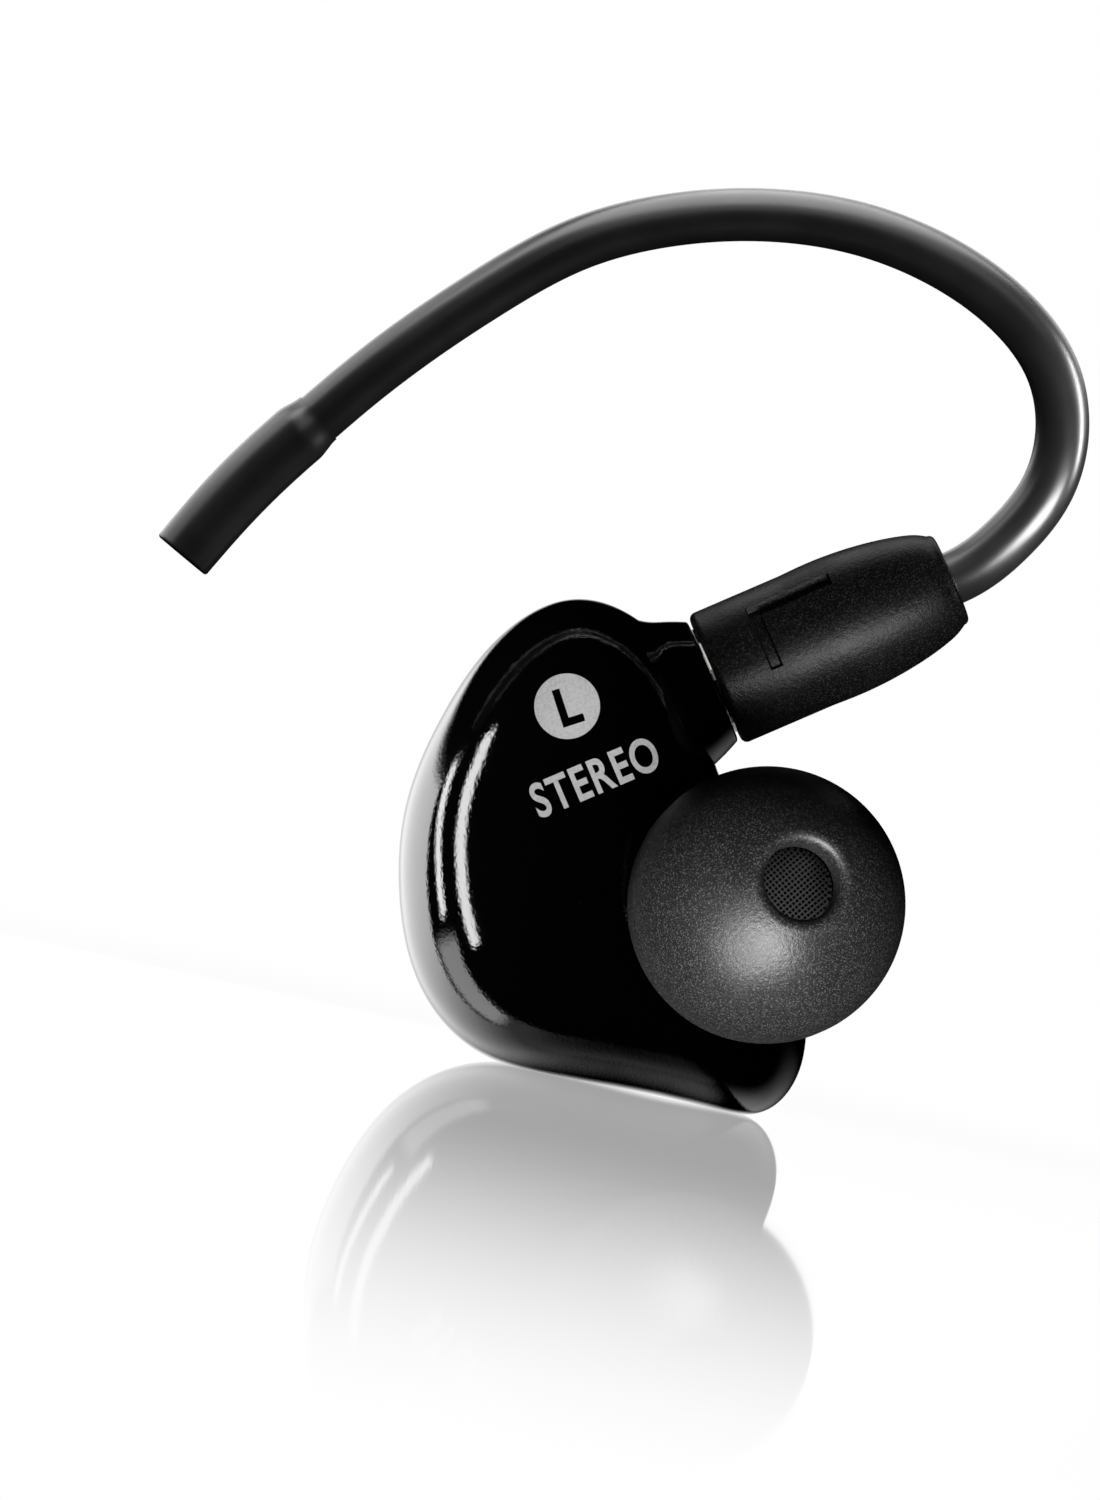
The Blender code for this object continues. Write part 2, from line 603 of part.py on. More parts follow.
def driver(metal, steel, plastic, film, copper, foam, driver_axis):
    """The moving-coil driver: frame, yoke, magnet, pole plate, coil, diaphragm and cover."""
    frame_inner = DRIVER_RADIUS - FRAME_WALL
    floor = FRAME_FROM + FRAME_WALL
    lathe(
        "driver_frame",
        [
            (YOKE_RADIUS + FIT, FRAME_FROM), (DRIVER_RADIUS, FRAME_FROM), (DRIVER_RADIUS, FRAME_TO),
            (frame_inner, FRAME_TO), (frame_inner, floor), (YOKE_RADIUS + FIT, floor),
        ],
        plastic,
        driver_axis,
    )
    yoke_inner = YOKE_RADIUS - YOKE_WALL
    lathe(
        "magnet_yoke",
        [
            (0, 0), (YOKE_RADIUS, 0), (YOKE_RADIUS, YOKE_HEIGHT), (yoke_inner, YOKE_HEIGHT),
            (yoke_inner, YOKE_WALL), (0, YOKE_WALL),
        ],
        steel,
        driver_axis,
    )
    magnet_low = YOKE_WALL + SEAT_GAP
    magnet_high = magnet_low + MAGNET_HEIGHT
    lathe("magnet", ring(0, MAGNET_RADIUS, magnet_low, magnet_high), metal, driver_axis)
    pole_low = magnet_high + SEAT_GAP
    lathe("pole_plate", ring(0, POLE_RADIUS, pole_low, pole_low + POLE_HEIGHT), steel, driver_axis)
    lathe("voice_coil", ring(COIL_RADIUS, COIL_RADIUS + COIL_WALL, COIL_FROM, COIL_TO), copper, driver_axis)
    diaphragm(film, frame_inner, driver_axis)
    front_cover(metal, foam, driver_axis)
    lathe(
        "rear_felt",
        ring(YOKE_RADIUS + FIT, DRIVER_RADIUS - FIT, FRAME_FROM - SEAT_GAP - FELT_THICKNESS, FRAME_FROM - SEAT_GAP),
        foam,
        driver_axis,
    )


def diaphragm(film, frame_inner, driver_axis):
    """The domed centre that moves with the coil, and the half-roll surround at the frame."""
    seat = COIL_TO + SEAT_GAP
    shares = np.linspace(1, 0, 5)
    top = [(DOME_RADIUS * s, seat + DOME_THICKNESS + DOME_RISE * (1 - s**2)) for s in shares]
    under = [(DOME_RADIUS * s, seat + DOME_RISE * (1 - s**2)) for s in shares[::-1]]
    lathe("diaphragm_dome", top + under, film, driver_axis)
    outer = frame_inner - SEAT_GAP
    middle = (SURROUND_INNER + outer) / 2
    width = (outer - SURROUND_INNER) / 2
    turns = np.linspace(math.pi, 0, 6)
    roll = [(middle + width * math.cos(a), seat + DOME_THICKNESS + SURROUND_RISE * math.sin(a)) for a in turns]
    back = [(r, h - DOME_THICKNESS) for r, h in roll[::-1]]
    lathe("diaphragm_surround", roll + back, film, driver_axis)


def front_cover(metal, foam, driver_axis):
    """The perforated cover over the diaphragm and the foam gasket that seals it to the shell's rib."""
    low = FRAME_TO + SEAT_GAP
    high = low + COVER_THICKNESS
    cover = lathe("driver_cover", ring(0, DRIVER_RADIUS - SEAT_GAP, low, high), metal, driver_axis)
    for i in range(COVER_HOLES + 1):
        a = math.tau * i / COVER_HOLES
        circle = 0 if i == COVER_HOLES else COVER_HOLE_CIRCLE
        hole = lathe(f"cover_hole_{i}", ring(0, COVER_HOLE_RADIUS, low - 1, high + 1), parent=driver_axis, facets=PIN_FACETS)
        hole.location = Vector((circle * math.cos(a), circle * math.sin(a), 0)) * MM
        combine(cover, hole, "DIFFERENCE")
    gasket_low = high + SEAT_GAP
    lathe(
        "driver_gasket",
        ring(DRIVER_RADIUS - GASKET_WIDTH, DRIVER_RADIUS - SEAT_GAP, gasket_low, gasket_low + GASKET_THICKNESS),
        foam,
        driver_axis,
    )


def wiring(board_finish, wire_finishes, plug_axis, driver_axis):
    """The terminal board behind the driver and the two wires from it to the socket."""
    long, wide, thick = BOARD_SIZE
    block(
        "terminal_board", (-long / 2, -wide / 2, -SEAT_GAP - thick), (long / 2, wide / 2, -SEAT_GAP), board_finish, driver_axis
    )
    pad_height = -SEAT_GAP - thick - WIRE_RADIUS - SEAT_GAP
    to_world = driver_axis.matrix_world
    to_socket = plug_axis.matrix_world
    barrel_middle = (SOCKET_BORE + SOCKET_RADIUS) / 2
    ends = (("wire_signal", -1, 0, CONTACT_TAIL), ("wire_return", 1, barrel_middle, -SOCKET_DEPTH))
    for name, side, aim, height in ends:
        pad = to_world @ Vector((side * WIRE_SPREAD * MM, 0, pad_height * MM)) / MM
        rise = pad + Vector((side * 0.2, 0.1, 2.6))
        end = to_socket @ Vector((aim * MM, 0, (height - SEAT_GAP) * MM)) / MM
        near = to_socket @ Vector((aim * MM, 0, (height - 1.2) * MM)) / MM
        points = [pad, rise, rise * 0.4 + near * 0.6 + Vector((side * 0.2, 0, 0)), near, end]
        route = curve_points([tuple(p) for p in points], 4)
        tube(name, route, np.full(len(route), WIRE_RADIUS), None, wire_finishes[name], WIRE_FACETS)


def main():
    """Builds every piece of the monitor."""
    for old in list(bpy.data.objects):
        bpy.data.objects.remove(old)

    gloss = material("gloss_black", (0.006, 0.006, 0.007), 0.08)
    soft = material("soft_black", (0.022, 0.022, 0.023), 0.55)
    hook_black = material("hook_black", (0.016, 0.016, 0.017), 0.32)
    silicone = material("silicone_black", (0.02, 0.02, 0.02), 0.6)
    gold = material("gold_plate", (0.83, 0.62, 0.25), 0.25, 1.0)
    nickel = material("nickel_plate", (0.62, 0.61, 0.58), 0.2, 1.0)
    steel = material("steel", (0.45, 0.45, 0.46), 0.35, 1.0)
    screen = material("screen_steel", (0.06, 0.06, 0.065), 0.45, 1.0)
    plastic = material("driver_plastic", (0.03, 0.03, 0.03), 0.5)
    white = material("white_insulator", (0.85, 0.85, 0.82), 0.5)
    film = material("diaphragm_film", (0.75, 0.72, 0.6), 0.3)
    copper = material("copper", (0.8, 0.4, 0.22), 0.35, 1.0)
    foam = material("foam_grey", (0.12, 0.12, 0.12), 0.9)
    board = material("board_green", (0.03, 0.16, 0.07), 0.5)
    red = material("wire_red", (0.6, 0.04, 0.03), 0.45)

    tilt = math.radians(PLUG_TILT)
    plug_direction = np.array([math.cos(tilt), 0, math.sin(tilt)])
    plug_axis = frame_at("plug_axis", BOSS_FACE, tuple(plug_direction))
    route_shift = (OVERMOULD_LENGTH - ROUTE_AT_LENGTH) * plug_direction
    lean, turn = math.radians(NOZZLE_LEAN), math.radians(NOZZLE_TURN)
    nozzle_axis = frame_at(
        "nozzle_axis",
        NOZZLE_ROOT,
        (math.sin(lean) * math.cos(turn), -math.cos(lean), math.sin(lean) * math.sin(turn)),
    )
    driver_axis = frame_at("driver_axis", DRIVER_MIDDLE, (0, -1, 0))
    slope = math.radians(SLEEVE_SLOPE)
    sleeve_mouth = tuple(np.array(SLEEVE_MOUTH) + route_shift)
    sleeve_axis = frame_at("sleeve_axis", sleeve_mouth, (math.cos(slope), 0, math.sin(slope)))
    bpy.context.view_layer.update()

    housing(gloss, plug_axis, nozzle_axis, driver_axis)
    socket(nickel, gold, white, plug_axis)
    snap_ring(steel, plug_axis)
    plug(nickel, gold, white, soft, plug_axis)
    ear_hook(hook_black, soft, hook_black, plug_axis, sleeve_axis, route_shift)
    nozzle_fittings(screen, steel, foam, nozzle_axis)
    ear_tip(silicone, nozzle_axis)
    driver(steel, steel, plastic, film, copper, foam, driver_axis)
    wiring(board, {"wire_signal": red, "wire_return": copper}, plug_axis, driver_axis)


main()
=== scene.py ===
"""A left in-ear monitor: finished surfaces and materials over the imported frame.

Sizes are in millimetres in this file and become metres when a mesh is made. The ear is towards -Y, the
plug leaves towards +X and +Z is up as worn. The plug, the nozzle and the outlet sleeve each have an axis
of their own, read from the frame's joints and boxes, and every turned piece is drawn on one of those.
"""

import json
import logging
import math
from dataclasses import dataclass, field
from enum import Enum
from typing import Protocol

import bmesh
import bpy
import numpy as np
from mathutils import Matrix, Quaternion, Vector

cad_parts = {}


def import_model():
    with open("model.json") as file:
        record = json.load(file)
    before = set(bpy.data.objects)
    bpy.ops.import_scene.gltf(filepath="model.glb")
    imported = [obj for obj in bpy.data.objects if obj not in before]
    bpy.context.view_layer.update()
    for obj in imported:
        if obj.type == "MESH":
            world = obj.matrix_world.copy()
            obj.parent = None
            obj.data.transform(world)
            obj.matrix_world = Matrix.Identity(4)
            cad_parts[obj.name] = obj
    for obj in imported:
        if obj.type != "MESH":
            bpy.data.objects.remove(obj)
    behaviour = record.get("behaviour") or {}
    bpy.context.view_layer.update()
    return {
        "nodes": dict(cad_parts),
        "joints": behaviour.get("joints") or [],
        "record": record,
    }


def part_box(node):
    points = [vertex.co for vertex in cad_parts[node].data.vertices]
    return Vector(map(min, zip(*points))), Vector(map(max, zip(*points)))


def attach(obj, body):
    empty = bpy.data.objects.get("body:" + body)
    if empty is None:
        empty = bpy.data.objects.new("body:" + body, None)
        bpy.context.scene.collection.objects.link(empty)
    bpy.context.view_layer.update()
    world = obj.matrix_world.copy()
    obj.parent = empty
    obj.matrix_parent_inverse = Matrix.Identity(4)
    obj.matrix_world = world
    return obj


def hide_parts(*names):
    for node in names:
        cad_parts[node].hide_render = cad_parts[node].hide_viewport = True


LOG = logging.getLogger("monitor")
MM = 0.001
SHARP_ANGLE = math.radians(38)
# Corners nearer to each other than this are merged, and edges shorter than this go, in metres
MERGE_DISTANCE = 2e-7
SHORTEST_EDGE = 1e-7
# Fine steps that a smooth line is worked out in, for each point it gives back
FINE_STEPS = 8
# Height of the screen's middle above the nozzle's root, in mm
SCREEN_HEIGHT = 8.225
# How far the outlet face's point stands from the sleeve's own axis, in mm
OUTLET_OFFSET = 0.98

Colour = tuple[float, float, float]
Range = tuple[float, float]


class Body(Enum):
    """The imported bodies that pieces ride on."""

    HOUSING = "housing"
    PLUG = "plug"
    TIP = "ear_tip_body"


class Slot(Enum):
    """The record's material slots that new pieces take."""

    GLOSS = "housing_gloss"
    SOFT = "soft_black"
    HOOK = "hook_black"
    SILICONE = "silicone_black"


@dataclass(frozen=True)
class Axis:
    """A piece's own axis: an origin in mm and unit vectors, with z along the axis."""

    origin: np.ndarray
    z: np.ndarray

    @property
    def x(self) -> np.ndarray:
        """The unit vector square to the axis and to +Y, or +X where the axis runs along Y.

        Returns:
            Array (3,).
        """
        side = np.cross([0.0, 1.0, 0.0], self.z)
        if np.linalg.norm(side) < 1e-6:
            side = np.array([1.0, 0.0, 0.0])
        return side / np.linalg.norm(side)

    @property
    def y(self) -> np.ndarray:
        """The unit vector square to the axis that leans nearest to +Y."""
        return np.cross(self.z, self.x)

    def place(self, local: np.ndarray) -> np.ndarray:
        """Points given on this axis's own x, y and z, in mm, as points of the frame.

        Args:
            local: Any array whose last dimension is (x, y, z).

        Returns:
            The same array in the frame's coordinates.
        """
        return self.origin + local @ np.array([self.x, self.y, self.z])

    def turn(self) -> tuple[float, float, float]:
        """The rotation that a Mapping node needs to lay a pattern square to this axis."""
        basis = Matrix((self.x, self.y, self.z)).transposed()
        return tuple(basis.to_euler())


# ------------------------------------------------------------------ mesh helpers


def add_piece(
    name: str, points: np.ndarray, faces: np.ndarray, sharp: float = SHARP_ANGLE
) -> bpy.types.Object:
    """Makes a mesh object at the origin from points in mm.

    Args:
        name: The piece's name.
        points: Array (n, 3) of points in mm.
        faces: Array (m, 4) of corner indices.
        sharp: The angle past which an edge stays crisp, in radians.

    Returns:
        The linked object, with doubles merged, poles closed and normals outwards.
    """
    mesh = bpy.data.meshes.new(name)
    mesh.from_pydata((points * MM).tolist(), [], faces.tolist())
    bm = bmesh.new()
    bm.from_mesh(mesh)
    bmesh.ops.remove_doubles(bm, verts=bm.verts, dist=MERGE_DISTANCE)
    bmesh.ops.dissolve_degenerate(bm, edges=bm.edges, dist=SHORTEST_EDGE)
    bmesh.ops.recalc_face_normals(bm, faces=bm.faces)
    bm.to_mesh(mesh)
    bm.free()
    mesh.shade_smooth()
    mesh.set_sharp_from_angle(angle=sharp)
    piece = bpy.data.objects.new(name, mesh)
    bpy.context.scene.collection.objects.link(piece)
    return piece


def lattice_faces(rows: int, columns: int, wrap_rows: bool, wrap_columns: bool) -> np.ndarray:
    """Quads of a grid of points: face (i, j) joins points (i, j), (i+1, j), (i+1, j+1), (i, j+1).

    Args:
        rows: Number of points along the first parameter.
        columns: Number of points along the second parameter.
        wrap_rows: Whether the last row joins the first.
        wrap_columns: Whether the last column joins the first.

    Returns:
        Array (m, 4) of point indices.
    """
    i = np.arange(rows if wrap_rows else rows - 1)[:, None]
    j = np.arange(columns if wrap_columns else columns - 1)[None, :]
    i_next = (i + 1) % rows
    j_next = (j + 1) % columns
    corners = [i * columns + j, i_next * columns + j, i_next * columns + j_next, i * columns + j_next]
    return np.stack([np.broadcast_to(c, (i.shape[0], j.shape[1])) for c in corners], axis=-1).reshape(-1, 4)


def add_lattice(
    name: str,
    grid: np.ndarray,
    wrap_rows: bool = False,
    wrap_columns: bool = False,
    sharp: float = SHARP_ANGLE,
) -> bpy.types.Object:
    """Makes a piece from a grid of points.

    Args:
        name: The piece's name.
        grid: Array (rows, columns, 3) of points in mm.
        wrap_rows: Whether the last row joins the first.
        wrap_columns: Whether the last column joins the first.
        sharp: The angle past which an edge stays crisp, in radians.

    Returns:
        The linked piece.
    """
    rows, columns = grid.shape[:2]
    faces = lattice_faces(rows, columns, wrap_rows, wrap_columns)
    return add_piece(name, grid.reshape(-1, 3), faces, sharp)


def turned(
    name: str, profile: np.ndarray, axis: Axis, steps: int = 144, sharp: float = SHARP_ANGLE
) -> bpy.types.Object:
    """Turns a closed profile about an axis: point(a, k) = (r_k cos a, r_k sin a, h_k) on the axis.

    Args:
        name: The piece's name.
        profile: Array (n, 2) of (radius, height) in mm, closed from its last point to its first.
        axis: The axis it's turned on.
        steps: Facets round the turn.
        sharp: The angle past which an edge stays crisp, in radians.

    Returns:
        The turned piece.
    """
    a = np.arange(steps)[:, None] * math.tau / steps
    r, h = profile[None, :, 0], profile[None, :, 1]
    local = np.stack([r * np.cos(a), r * np.sin(a), np.broadcast_to(h, (steps, profile.shape[0]))], axis=-1)
    return add_lattice(name, axis.place(local), wrap_rows=True, wrap_columns=True, sharp=sharp)


def arc(centre: tuple[float, float], radius: float, start: float, end: float, count: int) -> np.ndarray:
    """Points of a circular arc: centre + radius (cos t, sin t), t from start to end in degrees."""
    t = np.radians(np.linspace(start, end, count))
    return np.stack([centre[0] + radius * np.cos(t), centre[1] + radius * np.sin(t)], axis=1)


def smooth_line(points: np.ndarray, count: int, closed: bool = False) -> np.ndarray:
    """A curve with even curvature through points: the cubic spline whose second derivatives M solve the
    usual tridiagonal system on chord lengths, read at count equal steps of its length.

    Args:
        points: Array (n, d) of the points it passes through.
        count: Number of points wanted.
        closed: Whether the curve closes on itself.

    Returns:
        Array (count, d); a closed curve doesn't repeat its first point.
    """
    knots = np.vstack([points, points[:1]]) if closed else points
    n = len(knots)
    chord = np.linalg.norm(np.diff(knots, axis=0), axis=1)
    at = np.concatenate([[0.0], np.cumsum(chord)])
    system = np.eye(n)
    right = np.zeros_like(knots)
    slope = np.diff(knots, axis=0) / chord[:, None]
    inner = np.arange(1, n - 1)
    system[inner, inner - 1] = chord[:-1]
    system[inner, inner] = 2 * (chord[:-1] + chord[1:])
    system[inner, inner + 1] = chord[1:]
    right[inner] = 6 * (slope[1:] - slope[:-1])
    if closed:
        system[0, :] = 0.0
        system[0, [0, 1]] = 2 * (chord[-1] + chord[0]), chord[0]
        system[0, n - 2] = chord[-1]
        right[0] = 6 * (slope[0] - slope[-1])
        system[-1, :] = 0.0
        system[-1, [0, -1]] = 1.0, -1.0
    bend = np.linalg.solve(system, right)
    where = np.linspace(0, at[-1], count * FINE_STEPS + 1)
    k = np.clip(np.searchsorted(at, where, side="right") - 1, 0, n - 2)
    h = chord[k][:, None]
    left, ahead = (at[k + 1] - where)[:, None], (where - at[k])[:, None]
    fine = (bend[k] * left**3 + bend[k + 1] * ahead**3) / (6 * h)
    fine += (knots[k] / h - bend[k] * h / 6) * left + (knots[k + 1] / h - bend[k + 1] * h / 6) * ahead
    length = np.concatenate([[0.0], np.cumsum(np.linalg.norm(np.diff(fine, axis=0), axis=1))])
    wanted = np.linspace(0, length[-1], count, endpoint=not closed)
    return np.stack([np.interp(wanted, length, fine[:, c]) for c in range(fine.shape[1])], axis=1)


def eased(edges: tuple[float, float], values: np.ndarray) -> np.ndarray:
    """The smooth step 3t^2 - 2t^3 from 0 at the first edge to 1 at the second."""
    t = np.clip((values - edges[0]) / (edges[1] - edges[0]), 0, 1)
    return t * t * (3 - 2 * t)


# ------------------------------------------------------------------ shader helpers


def new_material(name: str) -> tuple[bpy.types.Material, bpy.types.NodeTree, bpy.types.Node]:
    """Makes an empty material.

    Args:
        name: The material's name.

    Returns:
        The material, its tree and its Principled shader.
    """
    made = bpy.data.materials.new(name)
    made.use_nodes = True
    return made, made.node_tree, made.node_tree.nodes["Principled BSDF"]


def set_inputs(node: bpy.types.Node, **values: object) -> None:
    """Sets a node's sockets by name, with underscores for spaces."""
    for key, value in values.items():
        node.inputs[key.replace("_", " ")].default_value = value


def coordinates(tree: bpy.types.NodeTree) -> bpy.types.NodeSocket:
    """The Object coordinates of a material's piece."""
    return tree.nodes.new("ShaderNodeTexCoord").outputs["Object"]


def feed(
    tree: bpy.types.NodeTree, value: bpy.types.NodeSocket, node: bpy.types.Node, socket: str
) -> None:
    """Links a value to a node's named socket."""
    tree.links.new(value, node.inputs[socket])


def noise(
    tree: bpy.types.NodeTree,
    vector: bpy.types.NodeSocket,
    scale: float,
    detail: float = 2.0,
    rough: float = 0.5,
) -> bpy.types.NodeSocket:
    """Adds a noise texture.

    Args:
        tree: The tree it goes into.
        vector: The coordinates it's read at.
        scale: Grains a metre.
        detail: Number of finer layers added to it.
        rough: How strong each finer layer is.

    Returns:
        Its value, from 0 to 1.
    """
    made = tree.nodes.new("ShaderNodeTexNoise")
    set_inputs(made, Scale=scale, Detail=detail, Roughness=rough)
    feed(tree, vector, made, "Vector")
    return made.outputs["Fac"]


def remap(
    tree: bpy.types.NodeTree,
    value: bpy.types.NodeSocket,
    low: float,
    high: float,
    to_low: float,
    to_high: float,
    smooth: bool = False,
) -> bpy.types.NodeSocket:
    """Maps a value from one range to another, and holds it there at both ends.

    Args:
        tree: The tree it goes into.
        value: The value to map.
        low: The value that becomes to_low.
        high: The value that becomes to_high.
        to_low: The result at low.
        to_high: The result at high.
        smooth: Whether it goes by a smooth step in place of a straight line.

    Returns:
        The mapped value.
    """
    made = tree.nodes.new("ShaderNodeMapRange")
    made.inputs["From Min"].default_value = low
    made.inputs["From Max"].default_value = high
    made.inputs["To Min"].default_value = to_low
    made.inputs["To Max"].default_value = to_high
    made.interpolation_type = "SMOOTHSTEP" if smooth else "LINEAR"
    feed(tree, value, made, "Value")
    return made.outputs["Result"]


def combine(
    tree: bpy.types.NodeTree, operation: str, a: bpy.types.NodeSocket | float, b: bpy.types.NodeSocket | float
) -> bpy.types.NodeSocket:
    """Puts two values through a Math node.

    Args:
        tree: The tree it goes into.
        operation: The Math node's operation.
        a: The first value, a socket or a number.
        b: The second value, which an operation on one value leaves unread.

    Returns:
        The result.
    """
    made = tree.nodes.new("ShaderNodeMath")
    made.operation = operation
    for socket, value in zip(made.inputs, (a, b)):
        if isinstance(value, bpy.types.NodeSocket):
            tree.links.new(value, socket)
        else:
            socket.default_value = value
    return made.outputs[0]


def tint(
    tree: bpy.types.NodeTree, mask: bpy.types.NodeSocket, low: Colour, high: Colour
) -> bpy.types.NodeSocket:
    """Mixes two colours by a mask.

    Args:
        tree: The tree it goes into.
        mask: The share of the second colour.
        low: The colour where the mask is 0.
        high: The colour where the mask is 1.

    Returns:
        The mixed colour.
    """
    made = tree.nodes.new("ShaderNodeMix")
    made.data_type = "RGBA"
    made.inputs["A"].default_value = (*low, 1.0)
    made.inputs["B"].default_value = (*high, 1.0)
    feed(tree, mask, made, "Factor")
    return made.outputs["Result"]


def raise_bumps(
    tree: bpy.types.NodeTree, shader: bpy.types.Node, height: bpy.types.NodeSocket, distance: float
) -> None:
    """Turns a height into a shader's normal.

    Args:
        tree: The tree it goes into.
        shader: The shader whose normal it bends.
        height: The height over the surface.
        distance: What a height of 1 stands for, in metres.
    """
    bump = tree.nodes.new("ShaderNodeBump")
    set_inputs(bump, Distance=distance, Strength=1.0)
    feed(tree, height, bump, "Height")
    feed(tree, bump.outputs["Normal"], shader, "Normal")


def new_group(name: str, inputs: dict[str, float], outputs: tuple[str, ...]) -> bpy.types.NodeTree:
    """A shader node group with a Vector input, number inputs and number outputs.

    Args:
        name: The group's name.
        inputs: Names and default values of its number inputs.
        outputs: Names of its number outputs.

    Returns:
        The group, with its Group Input and Group Output nodes.
    """
    group = bpy.data.node_groups.new(name, "ShaderNodeTree")
    group.interface.new_socket("Vector", in_out="INPUT", socket_type="NodeSocketVector")
    for key, value in inputs.items():
        group.interface.new_socket(key, in_out="INPUT", socket_type="NodeSocketFloat").default_value = value
    for key in outputs:
        group.interface.new_socket(key, in_out="OUTPUT", socket_type="NodeSocketFloat")
    group.nodes.new("NodeGroupInput")
    group.nodes.new("NodeGroupOutput")
    return group


def scaled_noise(group: bpy.types.NodeTree, factor: float, detail: float) -> bpy.types.NodeSocket:
    """Adds a noise inside a group, with the group's Scale input times a factor as its scale.

    Args:
        group: The group it goes into.
        factor: How many times finer it is than the group's Scale.
        detail: Number of finer layers added to it.

    Returns:
        Its value, from 0 to 1.
    """
    source = group.nodes["Group Input"]
    made = group.nodes.new("ShaderNodeTexNoise")
    set_inputs(made, Detail=detail)
    feed(group, source.outputs["Vector"], made, "Vector")
    feed(group, combine(group, "MULTIPLY", source.outputs["Scale"], factor), made, "Scale")
    return made.outputs["Fac"]


def grain_and_glint_group() -> bpy.types.NodeTree:
    """Fine texture of a moulded soft surface, with a mask of painted glints: Height = noise at Scale plus
    half
    a noise at 2.7 Scale, and Grains = 9 (second noise - Peaks) held between 0 and 1, a painted glint mask:
    the peaks where pale specks go into the colour as if the grain caught the light.

    Returns:
        The group.
    """
    finer, steepness = 2.7, 9.0
    group = new_group("grain_and_glints", {"Scale": 9000.0, "Peaks": 0.62}, ("Height", "Grains"))
    source, sink = group.nodes["Group Input"], group.nodes["Group Output"]
    coarse = scaled_noise(group, 1.0, 3.0)
    fine = scaled_noise(group, finer, 2.0)
    height = combine(group, "ADD", coarse, combine(group, "MULTIPLY", fine, 0.5))
    # Painted glints: past Peaks the fine noise turns the colour pale, as if the grain's tips caught the light
    above = combine(group, "SUBTRACT", fine, source.outputs["Peaks"])
    raised = combine(group, "MAXIMUM", combine(group, "MULTIPLY", above, steepness), 0.0)
    painted_glints = combine(group, "MINIMUM", raised, 1.0)
    feed(group, height, sink, "Height")
    feed(group, painted_glints, sink, "Grains")
    return group


def handling_group() -> bpy.types.NodeTree:
    """Traces of handling: Smudge = a soft large noise for roughness, and Dust = sparse small specks, one in
    each cell of a Voronoi whose own random value is above Specks.

    Returns:
        The group.
    """
    cells_finer, speck_radius = 4.0, 0.045
    group = new_group("handling", {"Scale": 300.0, "Specks": 0.9}, ("Smudge", "Dust"))
    source, sink = group.nodes["Group Input"], group.nodes["Group Output"]
    smudge = scaled_noise(group, 1.0, 4.0)
    cells = group.nodes.new("ShaderNodeTexVoronoi")
    feed(group, source.outputs["Vector"], cells, "Vector")
    feed(group, combine(group, "MULTIPLY", source.outputs["Scale"], cells_finer), cells, "Scale")
    chosen = group.nodes.new("ShaderNodeSeparateColor")
    feed(group, cells.outputs["Color"], chosen, "Color")
    rare = combine(group, "GREATER_THAN", chosen.outputs["Red"], source.outputs["Specks"])
    near = combine(group, "LESS_THAN", cells.outputs["Distance"], speck_radius)
    feed(group, smudge, sink, "Smudge")
    feed(group, combine(group, "MULTIPLY", rare, near), sink, "Dust")
    return group


def use_group(
    tree: bpy.types.NodeTree, group: bpy.types.NodeTree, vector: bpy.types.NodeSocket, **values: float
) -> bpy.types.Node:
    """Places a group in a material with its own values.

    Args:
        tree: The material's tree.
        group: The group.
        vector: The coordinates it's read at.
        **values: The group's inputs by name, with underscores for spaces.

    Returns:
        The group's node.
    """
    made = tree.nodes.new("ShaderNodeGroup")
    made.node_tree = group
    feed(tree, vector, made, "Vector")
    set_inputs(made, **values)
    return made


# ------------------------------------------------------------------ finishes


class Finish(Protocol):
    """Anything that makes a material."""

    def build(self) -> bpy.types.Material:
        """The finished material."""
        ...


@dataclass(frozen=True)
class Groups:
    """The shared effect groups."""

    grain: bpy.types.NodeTree
    handling: bpy.types.NodeTree


@dataclass(frozen=True)
class PolishedShell:
    """Piano-black moulded plastic: almost black, very smooth, with a faint moulding wave and light dust."""

    groups: Groups
    colour: Colour = (0.0035, 0.0035, 0.004)
    dust_colour: Colour = (0.05, 0.05, 0.05)
    smudge: Range = (0.4, 0.75)
    roughness: Range = (0.03, 0.075)
    ior: float = 2.2
    handling_scale: float = 260.0
    specks: float = 0.93
    wave: float = 1.9e-5
    wave_scale: float = 420.0
    ripple: float = 4.5e-6
    ripple_scale: float = 7000.0

    def build(self) -> bpy.types.Material:
        """Makes the material.

        Returns:
            The finished material.
        """
        made, tree, shader = new_material("polished_shell")
        at = coordinates(tree)
        set_inputs(shader, IOR=self.ior, Coat_Weight=0.0)
        traces = use_group(tree, self.groups.handling, at, Scale=self.handling_scale, Specks=self.specks)
        feed(tree, tint(tree, traces.outputs["Dust"], self.colour, self.dust_colour), shader, "Base Color")
        rough = remap(tree, traces.outputs["Smudge"], *self.smudge, *self.roughness)
        feed(tree, rough, shader, "Roughness")
        wave = combine(tree, "MULTIPLY", noise(tree, at, self.wave_scale, 1.0), self.wave)
        ripple = combine(tree, "MULTIPLY", noise(tree, at, self.ripple_scale), self.ripple)
        raise_bumps(tree, shader, combine(tree, "ADD", wave, ripple), 1.0)
        return made


